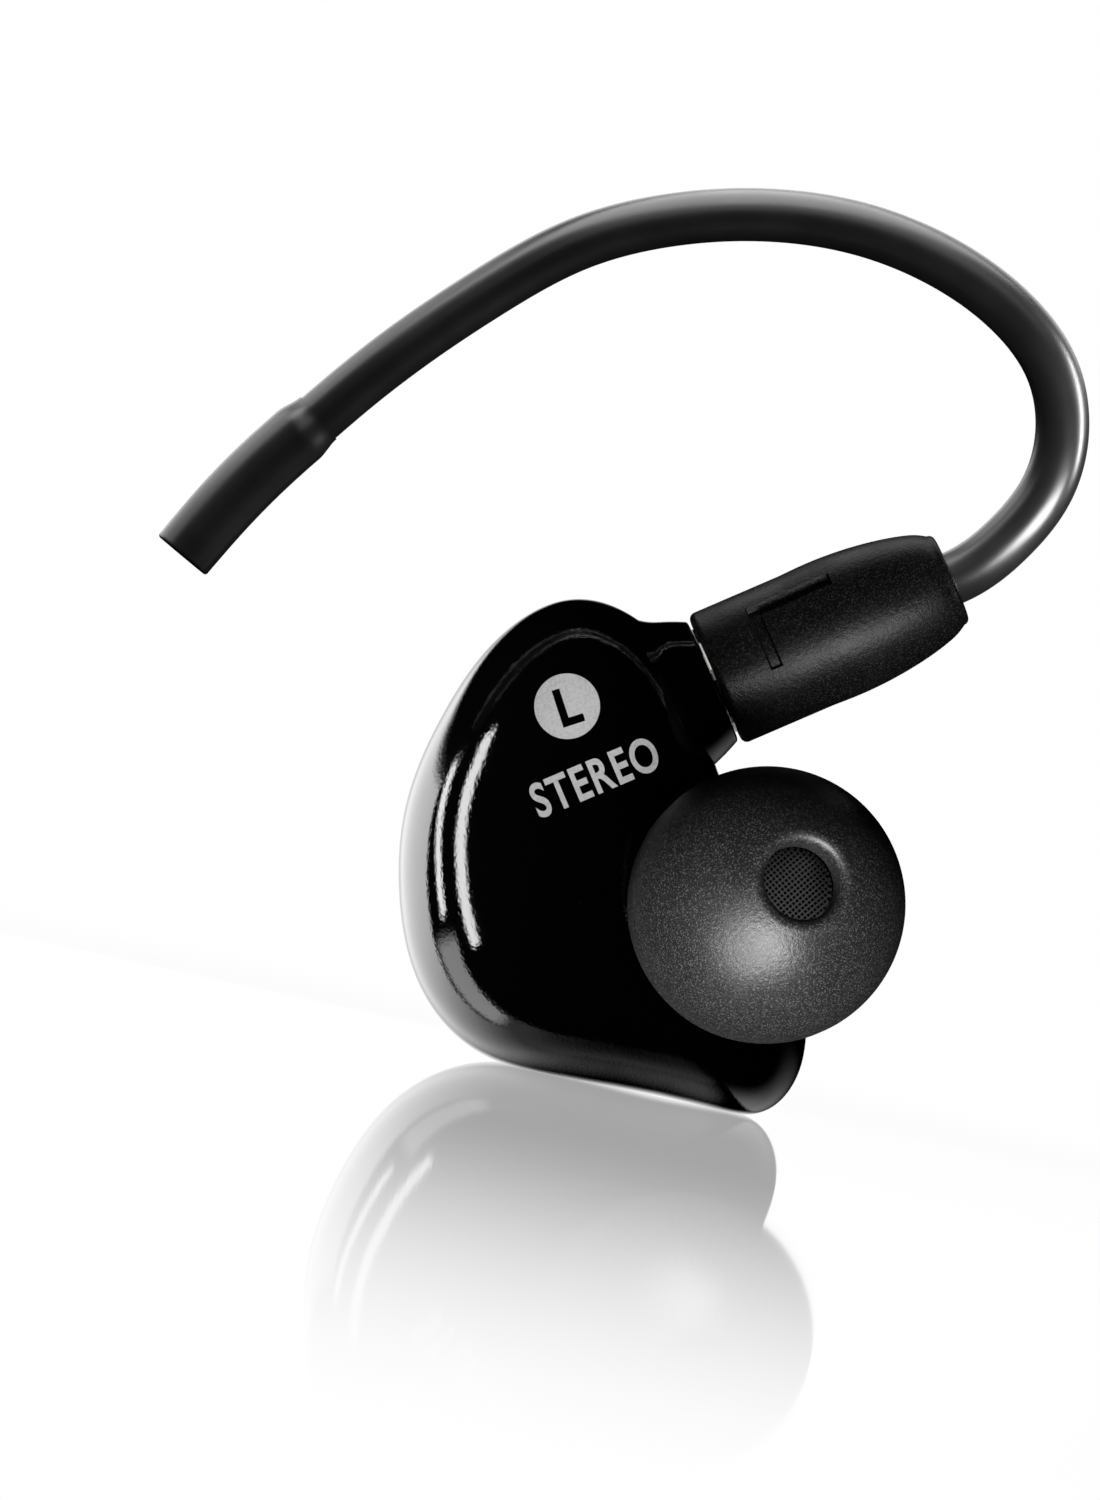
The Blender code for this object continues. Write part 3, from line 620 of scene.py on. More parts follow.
@dataclass(frozen=True)
class SoftMoulding:
    """Matte elastomer: dark, with a fine moulded grain that breaks its sheen into specks, and painted glints:
    pale specks in its colour that stand in for that sparkle, with faint random mottle and real dust.
    """

    groups: Groups
    name: str
    colour: Colour = (0.0035, 0.0035, 0.0037)
    # Pale colour of the painted glints, the faint random mottle and the dust specks
    glint_and_dust_colour: Colour = (0.034, 0.034, 0.034)
    smudge: Range = (0.35, 0.7)
    roughness: Range = (0.34, 0.46)
    grain_scale: float = 5000.0
    grain_depth: float = 2.0e-5
    peaks: float = 0.55
    mottled_from: Range = (0.7, 0.95)
    mottle: Range = (0.0, 0.12)
    handling_scale: float = 420.0
    specks: float = 0.95
    ior: float = 1.33

    def build(self) -> bpy.types.Material:
        """Makes the material.

        Returns:
            The finished material.
        """
        made, tree, shader = new_material(self.name)
        at = coordinates(tree)
        set_inputs(shader, IOR=self.ior)
        grain = use_group(tree, self.groups.grain, at, Scale=self.grain_scale, Peaks=self.peaks)
        traces = use_group(tree, self.groups.handling, at, Scale=self.handling_scale, Specks=self.specks)
        mottle = remap(tree, grain.outputs["Height"], *self.mottled_from, *self.mottle)
        # Painted glints plus faint random mottle, then real dust: the mask for the pale colour
        painted_glints = combine(tree, "ADD", grain.outputs["Grains"], mottle)
        pale = combine(tree, "MAXIMUM", painted_glints, traces.outputs["Dust"])
        feed(tree, tint(tree, pale, self.colour, self.glint_and_dust_colour), shader, "Base Color")
        rough = remap(tree, traces.outputs["Smudge"], *self.smudge, *self.roughness)
        feed(tree, rough, shader, "Roughness")
        raise_bumps(tree, shader, grain.outputs["Height"], self.grain_depth)
        return made


@dataclass(frozen=True)
class SatinTube:
    """Smooth black polymer with a satin skin, slightly uneven where hands have rubbed it."""

    groups: Groups
    colour: Colour = (0.0022, 0.0022, 0.0024)
    rubbed_colour: Colour = (0.004, 0.004, 0.004)
    smudge: Range = (0.35, 0.7)
    roughness: Range = (0.3, 0.37)
    grain_scale: float = 9000.0
    grain_depth: float = 1.0e-6
    handling_scale: float = 300.0
    ior: float = 1.33

    def build(self) -> bpy.types.Material:
        """Makes the material.

        Returns:
            The finished material.
        """
        made, tree, shader = new_material("satin_tube")
        at = coordinates(tree)
        set_inputs(shader, IOR=self.ior)
        grain = use_group(tree, self.groups.grain, at, Scale=self.grain_scale)
        traces = use_group(tree, self.groups.handling, at, Scale=self.handling_scale)
        rubbed = traces.outputs["Smudge"]
        feed(tree, tint(tree, rubbed, self.colour, self.rubbed_colour), shader, "Base Color")
        feed(tree, remap(tree, rubbed, *self.smudge, *self.roughness), shader, "Roughness")
        raise_bumps(tree, shader, grain.outputs["Height"], self.grain_depth)
        return made


@dataclass(frozen=True)
class PlainMetal:
    """Machined or plated metal with faint stains and fine marks."""

    name: str
    colour: Colour
    roughness: float = 0.25
    marks: float = 6.0e-7
    marks_scale: float = 9000.0
    stain_scale: float = 500.0
    stained: float = 0.82

    def build(self) -> bpy.types.Material:
        """Makes the material.

        Returns:
            The finished material.
        """
        made, tree, shader = new_material(self.name)
        at = coordinates(tree)
        set_inputs(shader, Metallic=1.0)
        stain = noise(tree, at, self.stain_scale, 3.0)
        darker = tuple(self.stained * c for c in self.colour)
        feed(tree, tint(tree, stain, darker, self.colour), shader, "Base Color")
        rough = remap(tree, stain, 0.3, 0.7, self.roughness * 0.8, self.roughness * 1.25)
        feed(tree, rough, shader, "Roughness")
        raise_bumps(tree, shader, noise(tree, at, self.marks_scale), self.marks)
        return made


@dataclass(frozen=True)
class WovenScreen:
    """Fine dark wire cloth: two crossed sets of bands on the nozzle's own axis, with painted shade in the
    openings: near black where the dark bore behind would show through.
    """

    axis: Axis
    pitch: float = 0.2
    # Near black of the openings: painted shade of the bore seen through them
    opening_shade_colour: Colour = (0.002, 0.002, 0.002)
    wire_colour: Colour = (0.11, 0.11, 0.115)
    wire_rise: float = 3e-5

    def build(self) -> bpy.types.Material:
        """Makes the material.

        Returns:
            The finished material.
        """
        made, tree, shader = new_material("woven_screen")
        mapping = tree.nodes.new("ShaderNodeMapping")
        mapping.vector_type = "TEXTURE"
        set_inputs(mapping, Location=tuple(self.axis.origin * MM), Rotation=self.axis.turn())
        feed(tree, coordinates(tree), mapping, "Vector")
        bands = []
        for direction in ("X", "Y"):
            wave = tree.nodes.new("ShaderNodeTexWave")
            wave.bands_direction = direction
            # A wave texture has one band every pi / 10 of its scaled coordinate
            set_inputs(wave, Scale=math.pi / 10 / (self.pitch * MM))
            feed(tree, mapping.outputs["Vector"], wave, "Vector")
            bands.append(wave.outputs["Fac"])
        wires = combine(tree, "MAXIMUM", *bands)
        set_inputs(shader, Metallic=0.85, Roughness=0.42)
        mask = remap(tree, wires, 0.55, 0.85, 0.0, 1.0)
        # The openings are painted near black: painted shade of the dark bore, as the sheet itself has no
        # holes
        feed(tree, tint(tree, mask, self.opening_shade_colour, self.wire_colour), shader, "Base Color")
        raise_bumps(tree, shader, wires, self.wire_rise)
        return made


@dataclass(frozen=True)
class PrintedInk:
    """Pad-printed silver-grey ink with a slightly uneven film."""

    name: str
    colour: Colour = (0.62, 0.62, 0.63)
    thinned: float = 0.8
    film_scale: float = 7000.0
    film_depth: float = 2e-6

    def build(self) -> bpy.types.Material:
        """Makes the material.

        Returns:
            The finished material.
        """
        made, tree, shader = new_material(self.name)
        film = noise(tree, coordinates(tree), self.film_scale, 3.0, 0.6)
        thin = tuple(self.thinned * c for c in self.colour)
        full = remap(tree, film, 0.35, 0.6, 0.0, 1.0)
        feed(tree, tint(tree, full, thin, self.colour), shader, "Base Color")
        feed(tree, remap(tree, film, 0.3, 0.7, 0.38, 0.5), shader, "Roughness")
        raise_bumps(tree, shader, film, self.film_depth)
        return made


@dataclass(frozen=True)
class MouldedPlastic:
    """Plain moulded plastic, foam, board or wire enamel for the pieces inside."""

    name: str
    colour: Colour
    roughness: float = 0.5
    grain_scale: float = 6000.0
    grain_depth: float = 3e-6

    def build(self) -> bpy.types.Material:
        """Makes the material.

        Returns:
            The finished material.
        """
        made, tree, shader = new_material(self.name)
        grain = noise(tree, coordinates(tree), self.grain_scale, 3.0, 0.6)
        lighter = tuple(min(1.0, 1.25 * c + 0.004) for c in self.colour)
        feed(tree, tint(tree, grain, self.colour, lighter), shader, "Base Color")
        rough = remap(tree, grain, 0.3, 0.7, self.roughness * 0.9, min(1.0, self.roughness * 1.15))
        feed(tree, rough, shader, "Roughness")
        raise_bumps(tree, shader, grain, self.grain_depth)
        return made


# ------------------------------------------------------------------ sub-assemblies


@dataclass
class Piece:
    """A finished piece, the body it rides on, the nodes it stands for and its material."""

    thing: bpy.types.Object
    body: Body
    finish: bpy.types.Material
    slot: Slot
    nodes: tuple[str, ...] = ()

    def settle(self) -> None:
        """Dresses the piece and puts it on its body."""
        self.thing.data.materials.clear()
        self.thing.data.materials.append(self.finish)
        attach(self.thing, self.body.value)
        if self.nodes:
            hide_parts(*self.nodes)
        LOG.info("%s rides on %s", self.thing.name, self.body.value)


@dataclass
class Housing:
    """The two polished half shells, with the flared boss and the nozzle."""

    plug_axis: Axis
    nozzle_axis: Axis
    finish: bpy.types.Material
    outer_depth: float = 4.5
    inner_depth: float = 7.0
    wall: float = 1.0
    outward_wall: float = 0.5
    tongue_inset: float = 0.55
    tongue_height: float = 0.45
    middle: tuple[float, float] = (0.2, -0.6)
    outline: tuple[tuple[float, float], ...] = (
        (-1.1, 11.95), (-4.2, 10.55), (-7.15, 6.7), (-8.85, 2.6), (-9.15, -1.9), (-8.15, -5.95),
        (-5.65, -8.75), (-2.0, -9.95), (2.0, -10.65), (5.0, -11.35), (7.4, -11.6), (9.0, -10.0),
        (9.45, -7.3), (9.0, -3.4), (7.1, 0.6), (5.35, 4.1), (4.3, 7.6), (2.1, 10.7),
    )
    even_waves: float = 26.0
    corner_softness: float = 0.7
    dome_width: float = 2.6
    face_roll: float = 0.34
    seam_gap: float = 0.06
    around: int = 360
    boss_bore: float = 1.9
    boss_flare: tuple[tuple[float, float], ...] = (
        (-3.2, 4.9), (-2.7, 4.45), (-2.2, 4.05), (-1.6, 3.64), (-1.0, 3.39), (-0.45, 3.16), (-0.15, 3.02),
    )
    nozzle_flare: tuple[tuple[float, float], ...] = (
        (-3.6, 4.5), (-2.4, 4.15), (-1.2, 3.82), (0.2, 3.3), (1.3, 2.78), (2.2, 2.45), (3.0, 2.36),
    )
    nozzle_bore: float = 1.95
    nozzle_radius: float = 2.35
    nozzle_end: float = 8.6
    barb_from: float = 5.9
    barb_to: float = 7.1
    barb_rise: float = 0.2

    def edge(self) -> np.ndarray:
        """The outline at the seam: the closed smooth curve through the outline points, with its shortest
        waves k damped by exp(-(k / even_waves)^2) so that reflections run evenly round it.

        Returns:
            Array (around, 2) of (x, z).
        """
        line = smooth_line(np.array(self.outline), self.around, closed=True)
        waves = np.fft.rfft(line, axis=0)
        k = np.arange(len(waves))[:, None]
        return np.fft.irfft(waves * np.exp(-((k / self.even_waves) ** 2)), n=self.around, axis=0)

    def section(self, share: np.ndarray, inset: float = 0.0) -> np.ndarray:
        """The outline shrunk by a share s about its middle. Its corners soften towards the middle:
        p = middle + s ((1 - w) ellipse + w outline), with w = s^softness.

        Args:
            share: Array (rows,) of shares.
            inset: How far the outline is moved inwards first, in mm.

        Returns:
            Array (rows, around, 2) of (x, z).
        """
        edge = self.edge() - np.array(self.middle)
        length = np.linalg.norm(edge, axis=1, keepdims=True)
        edge = edge * (1 - inset / length)
        angle = np.arctan2(edge[:, 1], edge[:, 0])
        waves = np.fft.rfft(edge, axis=0)
        waves[3:] = 0
        plain = np.fft.irfft(waves, n=self.around, axis=0)
        radius = np.linalg.norm(plain, axis=1, keepdims=True)
        plain = np.stack([np.cos(angle), np.sin(angle)], axis=1) * radius
        w = (share**self.corner_softness)[:, None, None]
        return np.array(self.middle) + share[:, None, None] * ((1 - w) * plain + w * edge)

    def dome(self, inset: float = 0.0, rows: int = 96) -> np.ndarray:
        """The ear-side surface from the seam to its crown: s = cos(t)^(2/width), depth = D sin(t).

        Args:
            inset: How far inside the outer surface it lies, in mm.
            rows: Number of rings.

        Returns:
            Array (rows, around, 3).
        """
        t = np.linspace(0, math.pi / 2, rows)
        share = np.clip(np.cos(t), 0, 1) ** (2 / self.dome_width)
        flat = self.section(share, inset)
        depth = (self.inner_depth - inset) * np.sin(t)
        y = np.broadcast_to(-self.outer_depth - depth[:, None], flat.shape[:2])
        return np.stack([flat[..., 0], y, flat[..., 1]], axis=-1)

    def face(self, inset: float = 0.0, rows: int = 40) -> np.ndarray:
        """The outward surface: a roll s = 1 - roll (1 - cos t), depth = D sin(t), then the flat face
        with s going evenly to 0.

        Args:
            inset: How far inside the outer surface it lies, in mm.
            rows: Number of rings in the roll.

        Returns:
            Array (rings, around, 3).
        """
        t = np.linspace(0, math.pi / 2, rows)
        share = 1 - self.face_roll * (1 - np.cos(t))
        depth = (self.outer_depth - inset) * np.sin(t)
        inner = np.linspace(share[-1], 0, 12)[1:]
        share = np.concatenate([share, inner])
        depth = np.concatenate([depth, np.full(len(inner), depth[-1])])
        flat = self.section(share, inset)
        y = np.broadcast_to(-self.outer_depth + depth[:, None], flat.shape[:2])
        return np.stack([flat[..., 0], y, flat[..., 1]], axis=-1)

    def surface_y(self, x: np.ndarray, z: np.ndarray) -> np.ndarray:
        """The dome's y at places (x, z), read from its own rings: the share s of a place is found on the
        ray from the middle, where s r(s, angle) meets the place's distance.

        Args:
            x: Array of x in mm.
            z: Array of z in mm, of the same shape.

        Returns:
            Array of y in mm.
        """
        rings = self.dome(rows=200)
        from_middle = np.stack([x - self.middle[0], z - self.middle[1]], axis=-1)
        distance = np.linalg.norm(from_middle, axis=-1)
        angle = np.arctan2(from_middle[..., 1], from_middle[..., 0])
        ring_edge = rings[0, :, [0, 2]].T - np.array(self.middle)
        ring_angle = np.arctan2(ring_edge[:, 1], ring_edge[:, 0])
        nearest = np.abs(np.angle(np.exp(1j * (ring_angle[None, :] - angle.reshape(-1, 1))))).argmin(axis=1)
        spokes = np.linalg.norm(rings[:, nearest][..., [0, 2]] - np.array(self.middle), axis=-1)
        heights = rings[:, nearest, 1]
        found = [np.interp(d, s[::-1], y[::-1]) for d, s, y in zip(distance.ravel(), spokes.T, heights.T)]
        return np.array(found).reshape(x.shape)

    def tongue(self) -> np.ndarray:
        """The lip on the ear-side rim that stands into the outward shell and closes the seam from inside.

        Returns:
            Array (3, around, 3): the lip's outer foot, its outer top and its inner top.
        """
        places = (
            (self.tongue_inset, self.seam_gap / 2),
            (self.tongue_inset, -self.tongue_height),
            (self.wall, -self.tongue_height),
        )
        rings = []
        for inset, drop in places:
            flat = self.section(np.array([1.0]), inset)[0]
            y = np.full(self.around, -self.outer_depth - drop)
            rings.append(np.stack([flat[:, 0], y, flat[:, 1]], axis=-1))
        return np.array(rings)

    def shell(
        self, name: str, outside: np.ndarray, inside: np.ndarray, side: float, lip: np.ndarray | None = None
    ) -> bpy.types.Object:
        """A half shell: its outer grid and its inner grid, joined by the rim at the seam.

        Args:
            name: The piece's name.
            outside: Array (rows, around, 3) from the seam to the pole.
            inside: The same for the hollow.
            side: -1 for the ear side, 1 for the outward side.
            lip: Rings of a lip between the outer and the inner grid, if it has one.

        Returns:
            The closed shell.
        """
        shift = np.array([0, side * self.seam_gap / 2, 0])
        outer, inner = outside[::-1].copy(), inside.copy()
        outer[-1] += shift
        inner[0] += shift
        between = lip if lip is not None else np.empty((0, self.around, 3))
        return add_lattice(name, np.concatenate([outer, between, inner]), wrap_columns=True)

    def socket_hole(self, piece: bpy.types.Object) -> None:
        """Cuts the socket's bore through a shell where the boss hides the cut.

        Args:
            piece: The shell, whose mesh is replaced by the cut one.
        """
        wide, low, high = self.boss_bore + 0.6, -3.6, 2.0
        reach = np.array([[0.0, low], [wide, low], [wide, high], [0.0, high]])
        cutter = turned("socket_cutter", reach, self.plug_axis, steps=64)
        hole = piece.modifiers.new("socket", "BOOLEAN")
        hole.operation, hole.solver, hole.object = "DIFFERENCE", "EXACT", cutter
        bpy.context.view_layer.update()
        shown = bpy.context.evaluated_depsgraph_get()
        cut = bpy.data.meshes.new_from_object(piece.evaluated_get(shown))
        piece.modifiers.clear()
        piece.data = cut
        bpy.data.objects.remove(cutter)
        cut.shade_smooth()
        cut.set_sharp_from_angle(angle=SHARP_ANGLE)

    def boss_half(self, name: str, side: float) -> bpy.types.Object:
        """Half of the flared boss: a closed profile carried through half a turn about the plug's axis, from
        seam to seam.

        Args:
            name: The piece's name.
            side: -1 for the ear side, 1 for the outward side.

        Returns:
            The half boss.
        """
        flare = smooth_line(np.array([(r, h) for h, r in self.boss_flare]), 40)
        rounded = arc((2.83, -0.19), 0.19, 0, 90, 8)
        lip = arc((2.66, -0.05), 0.05, 90, 180, 5)
        inner = np.array([[2.61, -0.12], [self.boss_bore, -0.12], [self.boss_bore, self.boss_flare[0][0]]])
        profile = np.vstack([flare, rounded, lip, inner])
        edge = math.asin(self.seam_gap / 2 / self.boss_flare[0][1])
        a = np.linspace(edge, math.pi - edge, 96)[:, None] * side
        r, h = profile[None, :, 0], profile[None, :, 1]
        y = np.where(np.abs(r * np.sin(a)) < self.seam_gap / 2, side * self.seam_gap / 2, r * np.sin(a))
        local = np.stack([r * np.cos(a), y, np.broadcast_to(h, y.shape)], axis=-1)
        half = add_lattice(name, self.plug_axis.place(local), wrap_columns=True)
        bm = bmesh.new()
        bm.from_mesh(half.data)
        bmesh.ops.holes_fill(bm, edges=[e for e in bm.edges if e.is_boundary], sides=0)
        bmesh.ops.recalc_face_normals(bm, faces=bm.faces)
        bm.to_mesh(half.data)
        bm.free()
        half.data.set_sharp_from_angle(angle=SHARP_ANGLE)
        return half

    def nozzle(self) -> bpy.types.Object:
        """The nozzle: a flare that leaves the dome, a straight neck with a barb, and its bore.

        Returns:
            The turned nozzle.
        """
        flare = smooth_line(np.array([(r, h) for h, r in self.nozzle_flare]), 36)
        neck, end = self.nozzle_radius, self.nozzle_end
        barb = np.array([
            [neck, self.barb_from - 0.05], [neck + self.barb_rise, self.barb_from + 0.15],
            [neck + self.barb_rise, self.barb_from + 0.3], [neck, self.barb_to],
        ])
        bore, seat_wide, seat_deep = self.nozzle_bore, self.nozzle_bore + 0.2, end - 0.5
        mouth = np.vstack([arc((neck - 0.12, end - 0.12), 0.12, 0, 90, 6), [[seat_wide, end]]])
        seat = np.array([[seat_wide, seat_deep], [bore, seat_deep], [bore, self.nozzle_flare[0][0]]])
        profile = np.vstack([flare, barb, mouth, seat])
        return turned("nozzle_stem", profile, self.nozzle_axis, steps=128)

    def build(self) -> list[Piece]:
        """Makes both shells, both halves of the boss and the nozzle.

        Returns:
            The housing's pieces.
        """
        ear_side = self.shell("ear_side_shell", self.dome(), self.dome(self.wall), -1, self.tongue())
        outward = self.shell("outward_shell", self.face(), self.face(self.outward_wall), 1)
        for shell in (ear_side, outward):
            self.socket_hole(shell)
        boss_front = self.boss_half("boss_ear_side", -1)
        boss_back = self.boss_half("boss_outward", 1)
        pieces = []
        for thing, node in (
            (ear_side, "inner_shell"), (boss_front, "inner_shell"), (self.nozzle(), "inner_shell"),
            (outward, "outer_shell"), (boss_back, "outer_shell"),
        ):
            pieces.append(Piece(thing, Body.HOUSING, self.finish, Slot.GLOSS, (node,)))
        return pieces


@dataclass
class Markings:
    """The pad print on the dome: a pale disc with a cut-out L, and a generic word below it."""

    housing: Housing
    ink: bpy.types.Material
    disc_centre: tuple[float, float] = (-1.5, 6.97)
    disc_radius: float = 1.48
    letter_height: float = 1.75
    letter_stroke: float = 0.36
    half_width_share: float = 0.26
    letter_foot: float = 0.12
    letter_tilt: float = 18.0
    word: str = "STEREO"
    word_centre: tuple[float, float] = (-0.25, 3.8)
    word_width: float = 6.0
    word_height: float = 1.62
    word_tilt: float = 23.0
    word_weight: float = 0.022
    word_spacing: float = 1.12
    tile: float = 0.2
    film: float = 0.02

    def lay_on_dome(self, name: str, bm: bmesh.types.BMesh) -> bpy.types.Object:
        """Cuts flat artwork drawn on X and Z, in mm, into small tiles and lays it on the dome.

        Args:
            name: The piece's name.
            bm: The artwork; it is freed.

        Returns:
            The laid print, one film's thickness above the dome.
        """
        low = np.min([v.co for v in bm.verts], axis=0)
        high = np.max([v.co for v in bm.verts], axis=0)
        for direction, start, stop in ((0, low[0], high[0]), (2, low[2], high[2])):
            for at in np.arange(start + self.tile, stop, self.tile):
                point, normal = Vector((0, 0, 0)), Vector((0, 0, 0))
                point[direction], normal[direction] = at, 1.0
                everything = bm.verts[:] + bm.edges[:] + bm.faces[:]
                bmesh.ops.bisect_plane(bm, geom=everything, plane_co=point, plane_no=normal, dist=1e-6)
        mesh = bpy.data.meshes.new(name)
        bmesh.ops.triangulate(bm, faces=bm.faces)
        bm.to_mesh(mesh)
        bm.free()
        places = np.empty(len(mesh.vertices) * 3, dtype=np.float32)
        mesh.vertices.foreach_get("co", places)
        places = places.reshape(-1, 3).astype(float)
        places[:, 1] = self.housing.surface_y(places[:, 0], places[:, 2]) - self.film
        mesh.vertices.foreach_set("co", (places * MM).ravel())
        mesh.update()
        if sum(face.normal.y * face.area for face in mesh.polygons) > 0:
            mesh.flip_normals()
        mesh.shade_smooth()
        piece = bpy.data.objects.new(name, mesh)
        bpy.context.scene.collection.objects.link(piece)
        return piece

    def disc(self) -> bpy.types.Object:
        """The disc with the L left open: a grid in (x, z) squeezed to a circle, less the faces whose middle
        lies in the L's two bars.

        Returns:
            The disc, laid on the dome.
        """
        steps = 97
        u = np.linspace(-1, 1, steps)
        a, b = np.meshgrid(u, u, indexing="ij")
        # The square-to-circle map x = a sqrt(1 - b^2 / 2), z = b sqrt(1 - a^2 / 2)
        x = self.disc_radius * a * np.sqrt(1 - b * b / 2)
        z = self.disc_radius * b * np.sqrt(1 - a * a / 2)
        tilt = math.radians(self.letter_tilt)
        across = x * math.cos(tilt) + z * math.sin(tilt)
        up = -x * math.sin(tilt) + z * math.cos(tilt)
        half, wide = self.letter_height / 2, self.letter_height * self.half_width_share
        stroke, toe = self.letter_stroke, wide + self.letter_foot
        pulled_across = self.snap(across, (-wide, -wide + stroke, toe))
        pulled_up = self.snap(up, (-half, -half + stroke, half))
        x = pulled_across * math.cos(tilt) - pulled_up * math.sin(tilt) + self.disc_centre[0]
        z = pulled_across * math.sin(tilt) + pulled_up * math.cos(tilt) + self.disc_centre[1]
        faces = lattice_faces(steps, steps, False, False)
        mid_across = pulled_across.ravel()[faces].mean(axis=1)
        mid_up = pulled_up.ravel()[faces].mean(axis=1)
        stem = (mid_across > -wide) & (mid_across < -wide + stroke) & (np.abs(mid_up) < half)
        foot = (mid_across > -wide) & (mid_across < toe) & (mid_up > -half) & (mid_up < -half + stroke)
        faces = faces[~(stem | foot)]
        bm = bmesh.new()
        verts = [bm.verts.new(p) for p in np.stack([x, np.zeros_like(x), z], axis=-1).reshape(-1, 3)]
        for face in faces:
            bm.faces.new([verts[i] for i in face])
        loose = [v for v in bm.verts if not v.link_faces]
        bmesh.ops.delete(bm, geom=loose, context="VERTS")
        return self.lay_on_dome("left_mark_print", bm)

    @staticmethod
    def snap(values: np.ndarray, lines: tuple[float, ...]) -> np.ndarray:
        """Pulls values that lie near a line onto it, so a bar's edge runs straight.

        Args:
            values: Array of values in mm.
            lines: The lines.

        Returns:
            Array like values.
        """
        reach = 0.018
        for line in lines:
            values = np.where(np.abs(values - line) < reach, line, values)
        return values

    def lettering(self) -> bpy.types.Object:
        """The generic word, drawn with the plain built-in face, heavy and narrow, on a rising line.

        Returns:
            The word, laid on the dome.
        """
        text = bpy.data.curves.new("word_text", "FONT")
        text.body = self.word
        text.align_x = "CENTER"
        text.align_y = "CENTER"
        text.offset = self.word_weight
        text.space_character = self.word_spacing
        text.resolution_u = 6
        holder = bpy.data.objects.new("word_text", text)
        bpy.context.scene.collection.objects.link(holder)
        bpy.context.view_layer.update()
        shown = bpy.context.evaluated_depsgraph_get()
        mesh = bpy.data.meshes.new_from_object(holder.evaluated_get(shown))
        bm = bmesh.new()
        bm.from_mesh(mesh)
        bpy.data.objects.remove(holder)
        bmesh.ops.remove_doubles(bm, verts=bm.verts, dist=1e-5)
        places = np.array([v.co for v in bm.verts])
        low, high = places.min(axis=0), places.max(axis=0)
        middle = (low + high) / 2
        tilt = math.radians(self.word_tilt)
        for vert in bm.verts:
            across = (vert.co.x - middle[0]) * self.word_width / (high[0] - low[0])
            up = (vert.co.y - middle[1]) * self.word_height / (high[1] - low[1])
            vert.co = Vector((
                self.word_centre[0] + across * math.cos(tilt) - up * math.sin(tilt),
                0.0,
                self.word_centre[1] + across * math.sin(tilt) + up * math.cos(tilt),
            ))
        return self.lay_on_dome("word_print", bm)

    def build(self) -> list[Piece]:
        """Makes the print.

        Returns:
            The two printed pieces.
        """
        return [Piece(thing, Body.HOUSING, self.ink, Slot.GLOSS) for thing in (self.disc(), self.lettering())]


@dataclass
class EarTip:
    """The silicone tip: a domed skirt open behind, a sleeve on the nozzle and a rolled front lip."""

    axis: Axis
    finish: bpy.types.Material
    radius: float = 6.15
    front: float = 10.2
    widest: float = 4.2
    skirt_edge: float = 2.2
    skirt_wall: float = 0.5
    lip_radius: float = 2.3
    lip_roll: float = 0.42
    core_back: float = 3.4
    core_outer: float = 3.25
    core_inner: float = 2.65
    step_height: float = 8.9

    def build(self) -> list[Piece]:
        """Turns the tip: outside r = R cos a, h = widest + rise sin a from the lip to the widest ring, a
        rounded skirt edge, the same curve inside, and the sleeve.

        Returns:
            The tip's piece.
        """
        rise = (self.front - self.widest) / math.sqrt(1 - (self.lip_radius / self.radius) ** 2)
        a = np.linspace(math.acos(self.lip_radius / self.radius), 0, 60)
        dome = np.stack([self.radius * np.cos(a), self.widest + rise * np.sin(a)], axis=1)
        edge_radius = self.skirt_wall / 2
        down = np.array([[self.radius - 0.03, self.widest - 0.7], [self.radius - 0.12, self.widest - 1.3]])
        edge_middle = (self.radius - 0.22 - edge_radius, self.skirt_edge + edge_radius)
        edge = arc(edge_middle, edge_radius, 0, -180, 12)
        inner_radius = self.radius - self.skirt_wall - 0.1
        inner_rise = rise - self.skirt_wall - 0.3
        root = math.acos((self.core_outer + 0.35) / inner_radius)
        b = np.linspace(0, root, 30)
        hollow = np.stack([inner_radius * np.cos(b), self.widest + inner_rise * np.sin(b)], axis=1)
        sleeve = np.array([
            [self.core_outer, hollow[-1, 1] - 0.3], [self.core_outer, self.core_back + 0.12],
            [self.core_outer - 0.12, self.core_back], [self.core_inner, self.core_back],
            [self.core_inner, self.step_height],
        ])
        # The dome's slope where the roll begins sets the roll's first normal
        level = math.sqrt(1 - (self.lip_radius / self.radius) ** 2)
        slope = math.atan2(rise * self.lip_radius / self.radius**2, level)
        start = 90 - math.degrees(slope)
        s = math.radians(start)
        middle = (self.lip_radius - self.lip_roll * math.cos(s), self.front - self.lip_roll * math.sin(s))
        roll = arc(middle, self.lip_roll, 180, start, 18)
        bore = np.array([[roll[0, 0], self.step_height], [roll[0, 0], roll[0, 1] - 0.2]])
        profile = np.vstack([dome, down, edge, hollow, sleeve, bore, roll[:-1]])
        thing = turned("ear_tip_silicone", profile, self.axis, steps=192)
        return [Piece(thing, Body.TIP, self.finish, Slot.SILICONE, ("ear_tip",))]


